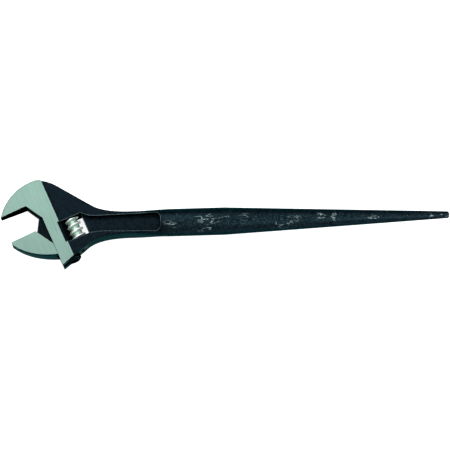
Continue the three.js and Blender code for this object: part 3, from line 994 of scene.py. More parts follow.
@dataclass(frozen=True)
class GroundTaper:
    """The two ground faces of head and jaws, thickest behind the mouth and thinnest at the tips."""

    reach: float = 32.3
    back: float = 11.4
    thickness: float = 20.0
    tip_thickness: float = 9.4
    stock: float = 0.5
    pass_behind: float = 5.0
    pass_low: float = -90.0
    pass_high: float = 60.0
    same_way: float = 0.9995

    @property
    def slope(self) -> float:
        """How much half the thickness grows per millimetre away from the tips."""
        return (self.thickness - self.tip_thickness) / 2 / (self.back + self.reach)

    def half(self, u: float) -> float:
        """Half the finished thickness at a given distance from the throat wall."""
        return self.thickness / 2 - self.slope * (self.back - u)

    def normal(self, head: HeadFrame, side: int) -> Vector:
        """The outward normal of the upper (side 1) or lower (side -1) ground face."""
        return (UP * side - head.away * self.slope).normalized()

    def grind(self, piece: Workpiece, head: HeadFrame, extra: float) -> None:
        """Slices both faces of a piece down to the taper.

        Args:
            piece: the piece.
            head: the head's frame.
            extra: what is left on for a later grind.
        """
        for side in (1, -1):
            plane = head.at(self.back, 0, side * (self.half(self.back) + extra))
            piece.slice_off(plane, self.normal(head, side))

    def finish_grind(self, piece: Workpiece, head: HeadFrame) -> None:
        """Takes a piece's two faces down to the finished planes, past the pad's step.

        Args:
            piece: the piece.
            head: the head's frame.
        """
        front, behind = -self.reach * 2, self.back + self.pass_behind
        low, high = self.pass_low, self.pass_high
        for side in (1, -1):
            top = side * self.thickness
            section = [
                head.at(front, low, side * self.half(front)),
                head.at(behind, low, side * self.half(behind)),
                head.at(behind, low, top),
                head.at(front, low, top),
            ]
            wheel = Workpiece.drawn("grinding_pass", section, head.closing * (high - low))
            piece.combine(wheel, Joining.CUT)

    def is_ground(self, head: HeadFrame, centre: Vector, normal: Vector) -> bool:
        """Whether a finished face lies on either ground plane.

        Args:
            head: the head's frame.
            centre: the face's middle, in millimetres.
            normal: the face's outward normal.

        Returns:
            Whether it was ground.
        """
        side = 1 if head.z(centre) > 0 else -1
        near = abs(abs(head.z(centre)) - self.half(head.u(centre))) < ON_PLANE
        return near and normal.dot(self.normal(head, side)) > self.same_way


# ---- The forging --------------------------------------------------------------------------------------


@dataclass
class ForgedBody:
    """Fixed jaw, head, neck and spud handle, forged in one piece."""

    head: HeadFrame
    taper: GroundTaper
    thickness: float = 16.2
    head_drop: float = 60.8
    underside_slope: float = math.radians(18.2)
    underside_length: float = 26.0
    crown_centre: tuple[float, float] = (9.7, -0.5)
    crown_radius: float = 40.3
    crown_end: float = math.radians(103)
    tip_flat: float = 1.0
    shoulder: tuple[float, float] = (18.3, 33.4)
    flank_end: tuple[float, float] = (47.5, 15.2)
    neck_half_width: float = 9.8
    neck_drop: float = 0.8
    neck_start: float = 80.0
    neck_end: float = 84.0
    chamfer: float = 9.0
    chamfer_slope: float = math.tan(math.radians(60))
    length: float = 351.0
    grip_radius: float = 11.75
    grip_start: float = 112.0
    taper_start: float = 160.0
    point_radius: float = 2.95
    point_rounding: float = 1.8
    lower_steps: int = 26
    flank_steps: int = 22
    shoulder_steps: int = 10
    crown_steps: int = 40
    pad_stock: float = 2.0
    rim_round: float = 2.0
    rim_segments: int = 5
    rim_above: float = 0.7
    flange_round: float = 1.3
    flange_segments: int = 6
    flat_cuts: int = 5
    blend_cuts: int = 14
    blend_smoothness: float = 0.85
    grip_rings: Span = (128.0, 144.0)
    taper_stretches: int = 12
    point_steps: int = 5
    tenon_ledge: float = 3.5
    weld_overlap: float = 0.15
    weld_inset: float = 0.04
    tenon_depth: float = 3.0
    window: tuple[float, float, float, float] = (9.7, 31.2, -43.9, -24.7)
    recess_depth: float = 4.4
    recess_half_width: float = 6.8
    recess_end_half_width: float = 7.9
    recess_drop: float = 1.1
    recess_end: float = 105.6
    recess_corner: float = 4.5
    recess_flare: float = 12.0
    recess_floor_round: float = 2.2
    recess_floor_segments: int = 4
    recess_curve_steps: int = 10
    recess_corner_steps: int = 8
    recess_inside: float = 3.0
    broken_edge: float = 0.22
    sharp_angle: float = 40.0
    wall_slope: float = 0.7
    milled_margin: float = 0.6
    mouth_facing: float = 0.3
    milled_half_height: float = 6.8
    milled_u: Span = (-12.0, 18.0)
    milled_v: Span = (-57.0, 13.0)

    def outline(self) -> list[Vector]:
        """The head and neck seen from above, at the underside of the forging.

        Returns:
            The outline's corners in order.
        """
        low = -self.thickness / 2

        def at(u: float, v: float) -> Vector:
            """A point of the underside, by the head's directions."""
            return self.head.at(u, v, low)

        def handle(x: float, y: float) -> Vector:
            """A point of the underside, along and beside the handle's centre line."""
            return self.head.handle(x, y, low)

        tip = at(-self.taper.reach, 0)
        centre = handle(*self.crown_centre)
        tip_angle = math.pi - math.asin((tip.y + self.tip_flat - centre.y) / self.crown_radius)
        neck_top = self.neck_half_width - self.neck_drop
        neck_bottom = -self.neck_half_width - self.neck_drop
        rise = self.underside_length * math.tan(self.underside_slope) - self.head_drop
        underside = at(self.underside_length, rise)
        corner = self.head.handle(0, 0).x
        slope_angle = math.atan2(self.head.away.y, self.head.away.x) + self.underside_slope
        lower_knee = underside.x - corner + (handle(0, neck_bottom).y - underside.y) / math.tan(slope_angle)
        flank = (self.flank_end[1] - self.shoulder[1]) / (self.flank_end[0] - self.shoulder[0])
        upper_knee = self.flank_end[0] + (neck_top - self.flank_end[1]) / flank
        crown_y = self.crown_centre[1] + self.crown_radius * math.sin(self.crown_end)
        shoulder_knee = self.shoulder[0] + (crown_y - self.shoulder[1]) / flank
        crown_x = self.crown_centre[0] + self.crown_radius * math.cos(self.crown_end)
        drawn = Outline(tip)
        drawn.line(at(-self.chamfer, 0), at(0, -self.chamfer * self.chamfer_slope))
        drawn.line(at(0, -self.head_drop), underside)
        drawn.curve(handle(lower_knee, neck_bottom), handle(self.neck_start, neck_bottom), self.lower_steps)
        drawn.line(handle(self.neck_end, neck_bottom), handle(self.neck_end, neck_top))
        drawn.line(handle(self.neck_start, neck_top))
        drawn.curve(handle(upper_knee, neck_top), handle(*self.flank_end), self.flank_steps)
        drawn.line(handle(*self.shoulder))
        drawn.curve(handle(shoulder_knee, crown_y), handle(crown_x, crown_y), self.shoulder_steps)
        drawn.arc(centre, self.crown_radius, self.crown_end, tip_angle, self.crown_steps)
        return self._without_repeats(drawn.points)

    @staticmethod
    def _without_repeats(points: Iterable[Vector]) -> list[Vector]:
        """The points with each one that repeats its neighbour left out.

        Args:
            points: the points in order.

        Returns:
            Those that are kept.
        """
        kept: list[Vector] = []
        for point in points:
            if not kept or (point - kept[-1]).length > REPEAT_BELOW:
                kept.append(point)
        return kept

    def _halves(self) -> tuple[list[Vector], list[Vector]]:
        """Divides the outline at the back edge of the pad.

        Returns:
            The outline in front of that edge, and the outline behind it with a tenon that reaches
            into the front part.
        """
        head, back = self.head, self.taper.back
        points = self.outline()
        front: list[Vector] = []
        rear: list[Vector] = []
        for start, end in zip(points, [*points[1:], points[0]]):
            if head.u(start) <= back:
                front.append(start)
            elif head.u(start) > back + self.flange_round:
                rear.append(start)
            if (head.u(start) - back) * (head.u(end) - back) < 0:
                t = (back - head.u(start)) / (head.u(end) - head.u(start))
                front.append(start.lerp(end, t))
                split = head.v(front[-1])
                inwards = self.weld_inset if split < -self.head_drop / 2 else -self.weld_inset
                shoulder = back - self.weld_overlap
                rear.append(head.at(shoulder, split + inwards, head.z(start)))
        first, last = rear[0], rear[-1]
        low = head.z(first)
        ledge, depth = self.tenon_ledge, self.tenon_depth
        tenon = [
            head.at(shoulder, head.v(last) - ledge, low),
            head.at(shoulder - depth, head.v(last) - ledge, low),
            head.at(shoulder - depth, head.v(first) + ledge, low),
            head.at(shoulder, head.v(first) + ledge, low),
        ]
        return front, rear + tenon

    def _head(self) -> Workpiece:
        """The flat forging with its raised pad, rounded rims and ground faces.

        Returns:
            The head, which ends in a flat face at the neck.
        """
        head = self.head
        front, rear = self._halves()
        half = self.taper.thickness / 2 + self.pad_stock
        drop = UP * (half - self.thickness / 2)
        pad = Workpiece.drawn("pad", [point - drop for point in front], UP * 2 * half)
        self.taper.grind(pad, head, self.taper.stock)
        pad.pick(Kind.EDGES, self._on_crown_rim)
        pad.round_off(self.rim_round, self.rim_segments)
        self.taper.finish_grind(pad.close(), head)
        piece = Workpiece.drawn("forged_body", rear, UP * self.thickness)
        piece.pick(Kind.EDGES, self._on_flange_rim)
        piece.round_off(self.flange_round, self.flange_segments)
        return piece.combine(pad, Joining.WELD)

    def _on_crown_rim(self, edge: bmesh.types.BMEdge) -> bool:
        """Whether an edge is on the outer rim of the raised pad, around the crown.

        Args:
            edge: the edge.

        Returns:
            Whether it is to be rounded.
        """
        a, b = (vert.co for vert in edge.verts)
        head, raw, half = self.head, self.taper.stock, self.taper.half
        on_face = all(abs(abs(head.z(p)) - half(head.u(p)) - raw) < ON_PLANE for p in (a, b))
        at_back = all(head.u(p) > self.taper.back - ON_PLANE for p in (a, b))
        one_side = head.z(a) * head.z(b) > 0
        return on_face and one_side and not at_back and head.v((a + b) / 2) > self.rim_above

    def _on_flange_rim(self, edge: bmesh.types.BMEdge) -> bool:
        """Whether an edge is on the outer rim of the flat forging behind the pad.

        Args:
            edge: the edge.

        Returns:
            Whether it is to be rounded.
        """
        a, b = (vert.co for vert in edge.verts)
        head = self.head
        neck_x = head.handle(self.neck_end, 0).x
        on_face = all(abs(abs(head.z(p)) - self.thickness / 2) < ON_LINE for p in (a, b))
        behind = head.u((a + b) / 2) > self.taper.back + CLEAR_OF
        at_neck_end = all(p.x > neck_x - ON_LINE for p in (a, b))
        one_side = head.z(a) * head.z(b) > 0
        return on_face and one_side and behind and not at_neck_end

    def _handle(self, piece: Workpiece) -> Workpiece:
        """Grows the neck into the round grip and draws the grip down to its point.

        Args:
            piece: the finished head, whose neck ends in a flat face.

        Returns:
            The whole forging.
        """
        neck_x = self.head.handle(self.neck_end, 0).x
        squarely = 0.99

        def at_neck_end(face: bmesh.types.BMFace) -> bool:
            """Whether a face closes the neck's far end."""
            return face.normal.x > squarely and face.calc_center_median().x > neck_x - ON_LINE

        def is_flat_side(edge: bmesh.types.BMEdge) -> bool:
            """Whether an open edge is one of the neck's four flats, not part of a round."""
            return edge.is_boundary and edge.calc_length() > 2 * self.flange_round

        piece.pick(Kind.FACES, at_neck_end)
        bpy.ops.mesh.delete(type="ONLY_FACE")
        piece.pick(Kind.EDGES, is_flat_side)
        bpy.ops.mesh.subdivide(number_cuts=self.flat_cuts)
        sides = 4 * (self.flange_segments + 1 + self.flat_cuts)
        grip = self._grip(sides)
        piece.close()
        grip.obj.select_set(True)
        bpy.ops.object.join()
        piece.pick(Kind.EDGES, lambda edge: edge.is_boundary)
        bpy.ops.mesh.bridge_edge_loops(
            number_cuts=self.blend_cuts, interpolation="PATH", smoothness=self.blend_smoothness
        )
        return piece.outwards()

    def _grip(self, sides: int) -> Workpiece:
        """The round grip and its long taper to a blunt point, open at the neck.

        Args:
            sides: how many sides the round has.

        Returns:
            The grip.
        """
        Workpiece.clear_bench()
        start = self.head.handle(self.grip_start, 0)
        bpy.ops.mesh.primitive_circle_add(
            vertices=sides,
            radius=self.grip_radius,
            location=start,
            rotation=(math.pi / 2, math.pi / 2 + math.pi / sides, math.pi / 2),
        )
        piece = Workpiece("grip")
        piece.edit()
        bpy.ops.mesh.select_all(action="SELECT")
        rounding_start = self.length - self.point_rounding
        slope = (self.grip_radius - self.point_radius) / (self.length - self.taper_start)
        rings = [(x, self.grip_radius) for x in (*self.grip_rings, self.taper_start)]
        for i in range(1, self.taper_stretches + 1):
            x = self.taper_start + (rounding_start - self.taper_start) * i / self.taper_stretches
            rings.append((x, self.grip_radius - slope * (x - self.taper_start)))
        end_radius = rings[-1][1]
        for step in range(1, self.point_steps + 1):
            a = step / self.point_steps * math.pi / 2
            inner = end_radius - self.point_rounding * (1 - math.cos(a))
            rings.append((rounding_start + self.point_rounding * math.sin(a), inner))
        at_x, radius = self.grip_start, self.grip_radius
        for x, size in rings:
            piece.pull(Vector((x - at_x, 0, 0)))
            bpy.ops.transform.resize(
                value=(1.0, size / radius, size / radius), center_override=self.head.handle(x, 0)
            )
            at_x, radius = x, size
        bpy.ops.mesh.edge_face_add()
        return piece

    def _cutters(self, jaw: "SlidingJaw", worm: "Worm") -> list[Workpiece]:
        """The window, the keyhole for the jaw's web and rail, the pin's hole and the two recesses.

        Args:
            jaw: the sliding jaw, whose web and rail pass through the head.
            worm: the worm, whose pin passes through the head.

        Returns:
            The cutters, ready to be taken away from the forging.
        """
        head = self.head
        left, right, bottom, top = self.window
        low = -self.taper.thickness
        corners = [(left, bottom), (right, bottom), (right, top), (left, top)]
        window = Workpiece.drawn("window", [head.at(u, v, low) for u, v in corners], UP * -2 * low)
        pin_top = top + worm.seat_depth + worm.gap
        far = self.head_drop * 2
        below = head.matrix(worm.u, -far)
        hole = Workpiece.bar("pin_hole", below, worm.pin_radius + worm.gap, far + pin_top, worm.hole_sides)
        seat_top = worm.pin_head_bottom(self) + worm.pin_head_height + worm.gap
        seat_radius = worm.pin_head_radius + worm.gap
        seat = Workpiece.bar("pin_seat", below, seat_radius, far + seat_top, worm.round_sides)
        return [window, *jaw.room(), hole, seat, self._recess(1), self._recess(-1)]

    def _recess(self, side: int) -> Workpiece:
        """The cutter for one face's recess, with a round where floor and wall meet and a slight draft.

        Args:
            side: 1 for the upper face, -1 for the lower one.

        Returns:
            The cutter.
        """
        head = self.head
        _, right, bottom, top = self.window
        floor = self.thickness / 2 - self.recess_depth
        z = floor if side > 0 else -floor
        upper = head.at(right, top, z)
        lower = head.at(right, bottom, z)
        inside = head.at(right - self.recess_depth - self.recess_inside, (top + bottom) / 2, z)
        high, low, end_high, end_low = (
            head.handle(0, half_width - self.recess_drop).y
            for half_width in (
                self.recess_half_width,
                -self.recess_half_width,
                self.recess_end_half_width,
                -self.recess_end_half_width,
            )
        )
        end = head.handle(self.recess_end, 0).x
        r, flare = self.recess_corner, self.recess_flare
        steps, corner_steps = self.recess_curve_steps, self.recess_corner_steps

        def point(x: float, y: float) -> Vector:
            """A point of the recess's floor."""
            return Vector((x, y, head.origin.z + z))

        drawn = Outline(inside).line(lower)
        drawn.curve(point(lower.x + flare / 2, low), point(lower.x + flare, low), steps)
        drawn.arc(point(end - r, end_low + r), r, -math.pi / 2, 0.0, corner_steps)
        drawn.arc(point(end - r, end_high - r), r, 0.0, math.pi / 2, corner_steps)
        drawn.line(point(upper.x + flare, high))
        drawn.curve(point(upper.x + flare / 2, high), upper, steps)
        name = "upper_recess" if side > 0 else "lower_recess"
        cutter = Workpiece.drawn(name, self._without_repeats(drawn.points), UP * side * self.thickness)
        return self._round_floor(cutter, z, side)

    def _round_floor(self, cutter: Workpiece, z: float, side: int) -> Workpiece:
        """Rounds the edge between a recess cutter's floor and its walls.

        Args:
            cutter: the recess cutter.
            z: the floor's height from the middle of the thickness.
            side: which face the recess is in.

        Returns:
            The cutter.
        """
        head = self.head
        right = self.window[1]

        def around_floor(edge: bmesh.types.BMEdge) -> bool:
            """Whether an edge is between the floor and a wall, outside the window.

            Args:
                edge: the edge.

            Returns:
                Whether it is to be rounded.
            """
            a, b = (vert.co for vert in edge.verts)
            on_floor = all(abs(head.z(p) - z) < ON_LINE for p in (a, b))
            return on_floor and max(head.u(a), head.u(b)) > right + ON_LINE

        if cutter.pick(Kind.EDGES, around_floor):
            cutter.round_off(self.recess_floor_round, self.recess_floor_segments)
        return cutter.outwards()

    def crest_band(self) -> GripCrestBand:
        """Where the grip's crest band lies, lighter partly from abrasion and partly as painted sheen.

        Returns:
            The grip's places and radii.
        """
        return GripCrestBand(
            start=self.head.handle(self.recess_end, 0).x,
            taper_start=self.head.handle(self.taper_start, 0).x,
            end=self.head.handle(self.length, 0).x,
            centre_y=self.head.handle(0, 0).y,
            radius=self.grip_radius,
            point_radius=self.point_radius,
        )

    def build(self, jaw: "SlidingJaw", worm: "Worm") -> bpy.types.Object:
        """Models the forging.

        Args:
            jaw: the sliding jaw that it guides.
            worm: the worm and pin that it carries.

        Returns:
            The finished mesh object, undressed.
        """
        piece = self._handle(self._head())
        for cutter in self._cutters(jaw, worm):
            piece.combine(cutter, Joining.CUT)
        return piece.soften(self.broken_edge, self.sharp_angle).to_metres()

    def _is_milled(self, centre: Vector, normal: Vector) -> bool:
        """Whether a face is a milled wall: of the mouth, the jaw's slot and bore, or the window.

        Args:
            centre: the face's middle, in millimetres.
            normal: the face's outward normal.

        Returns:
            Whether it was milled.
        """
        u, v = self.head.u(centre), self.head.v(centre)
        left, right, low, high = self.window
        margin = self.milled_margin
        in_window = left - margin < u < right + margin and low - margin < v < high + margin
        in_mouth = max(u, v) < margin and normal.dot(self.head.away) < self.mouth_facing
        (first, last), (lowest, highest) = self.milled_u, self.milled_v
        in_slot = first < u < last and lowest < v < highest
        if in_slot and abs(self.head.z(centre)) < self.milled_half_height:
            return True
        return abs(normal.z) < self.wall_slope and (in_window or in_mouth)

    def dress(
        self,
        obj: bpy.types.Object,
        skin: bpy.types.Material,
        ground: bpy.types.Material,
        milled: bpy.types.Material,
    ) -> None:
        """Blacks the forging and leaves its two ground faces bright.

        Args:
            obj: the forging.
            skin: the black oxide.
            ground: the ground steel.
            milled: the black oxide of the milled walls, darker as painted shade.
        """
        dress_ground(obj, self.head, self.taper, (skin, ground, milled), self._is_milled)
        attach(obj, "body")
        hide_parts("body")


def dress_ground(
    obj: bpy.types.Object,
    head: HeadFrame,
    taper: GroundTaper,
    finishes: tuple[bpy.types.Material, bpy.types.Material, bpy.types.Material],
    is_milled: Callable[[Vector, Vector], bool],
) -> None:
    """Gives a piece its skin, bright steel on the ground planes, and milled black where it was cut, which is
    partly painted shade.

    Args:
        obj: the finished piece, in metres.
        head: the head's frame.
        taper: the ground planes.
        finishes: the skin, the ground steel and the milled black that is partly painted shade.
        is_milled: tells from a face's centre and normal whether it was milled.
    """
    obj.data.materials.clear()
    for finish in finishes:
        obj.data.materials.append(finish)
    for face in obj.data.polygons:
        centre = face.center * TO_MM
        in_front = head.u(centre) < taper.back + CLEAR_OF
        if in_front and taper.is_ground(head, centre, face.normal):
            face.material_index = 1
        elif is_milled(centre, face.normal):
            face.material_index = 2
        else:
            face.material_index = 0


# ---- The sliding jaw ----------------------------------------------------------------------------------


@dataclass
class SlidingJaw:
    """The moving jaw: its nose, the thin web through the throat and the toothed rail."""

    head: HeadFrame
    taper: GroundTaper
    opening: float = 23.8
    chamfer: float = 10.0
    chamfer_slope: float = math.tan(math.radians(60))
    heel: float = 10.0
    tip_height: float = 3.0
    belly_out: float = 0.7
    belly_down: float = 0.61
    rail_u: float = 10.75
    rail_radius: float = 6.3
    rail_rise: float = 8.3
    rail_drop: float = 36.2
    rail_chamfer: float = 1.5
    web_thickness: float = 6.2
    web_rise: float = 11.6
    web_foot: float = -8.8
    web_overlap: float = 2.0
    web_inset: float = 0.05
    gap: float = 0.3
    nose_stock: float = 2.0
    belly_steps: int = 26
    belly_rim_height: float = 3.0
    rim_round: float = 2.0
    rim_segments: int = 5
    groove_reach: float = 1.5
    room_below: float = -150.0
    broken_edge: float = 0.2
    sharp_angle: float = 40.0
    nose_facing: float = 0.3

    @property
    def face(self) -> float:
        """The height of the jaw's face, from the fixed jaw's face."""
        return -self.opening

    def _nose(self) -> Workpiece:
        """The nose, ground on both faces, with the forging's round left on its lower rim.

        Returns:
            The nose.
        """
        head, reach = self.head, self.taper.reach
        low = -self.taper.thickness / 2 - self.nose_stock

        def at(u: float, v: float) -> Vector:
            """A point of the blank's underside."""
            return head.at(u, v, low)

        back = -self.gap
        bottom = self.face - self.chamfer * self.chamfer_slope - self.heel
        chamfer_end = self.face - (self.chamfer + back) * self.chamfer_slope
        drawn = Outline(at(-reach, self.face)).line(at(-reach - self.gap, self.face - self.tip_height))
        belly = at(-reach * self.belly_out, self.face - reach * self.belly_down)
        drawn.curve(belly, at(back, bottom), self.belly_steps)
        drawn.line(at(back, chamfer_end), at(-self.chamfer, self.face))
        piece = Workpiece.drawn("moving_jaw_with_rack", drawn.points, UP * -2 * low)
        self.taper.grind(piece, head, self.taper.stock)

        def on_belly(edge: bmesh.types.BMEdge) -> bool:
            """Whether an edge is on the rim of the nose's lower curve.

            Args:
                edge: the edge.

            Returns:
                Whether it is to be rounded.
            """
            a, b = (vert.co for vert in edge.verts)
            outer = min(abs(head.z(a)), abs(head.z(b))) > self.belly_rim_height
            one_side = head.z(a) * head.z(b) > 0
            below = max(head.v(a), head.v(b)) < self.face - self.tip_height + ON_LINE
            return outer and one_side and below and min(head.u(a), head.u(b)) < back - ON_LINE

        piece.pick(Kind.EDGES, on_belly)
        piece.round_off(self.rim_round, self.rim_segments)
        self.taper.finish_grind(piece, head)
        return piece

    def _web(self) -> Workpiece:
        """The web, reaching a little into the nose and the rail.

        Returns:
            The web.
        """
        overlap = self.web_overlap
        bottom = self.face - self.chamfer * self.chamfer_slope - self.heel
        rail_end = self.face - self.rail_drop + self.rail_chamfer
        rail_top = self.face + self.rail_rise - self.rail_chamfer
        top = self.face + self.web_rise
        corners = [
            (-self.chamfer - overlap, self.face),
            (-self.chamfer - overlap, self.face - self.chamfer),
            (-overlap, bottom + self.web_inset),
            (self.rail_u - overlap, rail_end),
            (self.rail_u, rail_end),
            (self.rail_u, rail_top),
            (self.rail_u - self.rail_radius, top),
            (self.web_foot + self.web_rise / self.chamfer_slope, top),
            (self.web_foot, self.face),
        ]
        low = -self.web_thickness / 2
        points = [self.head.at(u, v, low) for u, v in corners]
        return Workpiece.drawn("web", points, UP * self.web_thickness)

    def _rail(self, worm: "Worm") -> Workpiece:
        """The round rail with the rack's grooves, one for each turn of the worm's ridge.

        Args:
            worm: the worm that the rack meshes with.

        Returns:
            The rail.
        """
        head = self.head
        bottom = self.face - self.rail_drop
        length = self.rail_rise + self.rail_drop
        rail = Workpiece.bar("rail", head.matrix(self.rail_u, bottom), self.rail_radius, length)
        rail.break_ends(self.rail_chamfer, 1)
        first = math.ceil((bottom - worm.crest) / worm.lead)
        last = math.floor((bottom + length - worm.crest) / worm.lead)
        for i in range(first, last + 1):
            rail.combine(self._groove(worm, worm.crest + i * worm.lead), Joining.CUT)
        return rail

    def _groove(self, worm: "Worm", v: float) -> Workpiece:
        """The cutter for one groove of the rack, leaning like the worm's ridge.

        Args:
            worm: the worm that the rack meshes with.
            v: the height of the groove's middle.

        Returns:
            The cutter.
        """
        head = self.head
        deep = worm.u - worm.radius - self.gap
        outside = self.rail_u + self.rail_radius + self.gap
        deep_half, outside_half = (
            worm.half_crest + worm.mesh_gap + (u - worm.u + worm.radius) * math.tan(worm.flank_angle)
            for u in (deep, outside)
        )
        wide = self.rail_radius * self.groove_reach
        corners = [
            (deep, -deep_half),
            (outside, -outside_half),
            (outside, outside_half),
            (deep, deep_half),
        ]
        groove = Workpiece.drawn("groove", [head.at(u, v + dv, -wide) for u, dv in corners], UP * 2 * wide)
        lean = wide * 2 * worm.thread_slope
        squarely = 0.9
        groove.pick(Kind.FACES, lambda face: face.normal.z > squarely)
        bpy.ops.transform.translate(value=head.closing * lean / 2)
        groove.pick(Kind.FACES, lambda face: face.normal.z < -squarely)
        bpy.ops.transform.translate(value=-head.closing * lean / 2)
        return groove.close()

    def room(self) -> list[Workpiece]:
        """The cutters that let the web and rail slide from fully open to fully closed.

        Returns:
            The slot for the web and the bore for the rail.
        """
        head = self.head
        twice = self.gap * 2
        top = self.web_rise + twice
        foot = self.web_foot - twice
        far = self.room_below
        corners = [
            (foot, far),
            (self.rail_u, far),
            (self.rail_u, top),
            (foot + top / self.chamfer_slope, top),
            (foot, 0.0),
        ]
        low = -self.web_thickness / 2 - self.gap
        slot = Workpiece.drawn("web_slot", [head.at(u, v, low) for u, v in corners], UP * -2 * low)
        length = self.rail_rise + twice - far
        bore = Workpiece.bar("rail_bore", head.matrix(self.rail_u, far), self.rail_radius + self.gap, length)
        return [slot, bore]

    def build(self, worm: "Worm") -> bpy.types.Object:
        """Models the sliding jaw.

        Args:
            worm: the worm that its rack meshes with.

        Returns:
            The finished mesh object, undressed.
        """
        piece = self._nose()
        piece.combine(self._web().combine(self._rail(worm), Joining.WELD), Joining.WELD)
        return piece.soften(self.broken_edge, self.sharp_angle).to_metres()

    def _is_milled(self, centre: Vector, normal: Vector) -> bool:
        """Whether a face was milled: all but the nose's tip and lower curve."""
        on_nose = self.head.u(centre) < -self.gap + ON_LINE
        return not (on_nose and normal.dot(self.head.closing) < self.nose_facing)

    def dress(
        self,
        obj: bpy.types.Object,
        skin: bpy.types.Material,
        ground: bpy.types.Material,
        milled: bpy.types.Material,
    ) -> None:
        """Blacks the jaw and leaves its ground faces bright.

        Args:
            obj: the sliding jaw.
            skin: the black oxide.
            ground: the ground steel.
            milled: the black oxide of the web, the rack and the jaw's face, darker as painted shade.
        """
        dress_ground(obj, self.head, self.taper, (skin, ground, milled), self._is_milled)
        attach(obj, "jaw")
        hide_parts("sliding_jaw")


# ---- Worm, pin and spring -----------------------------------------------------------------------------


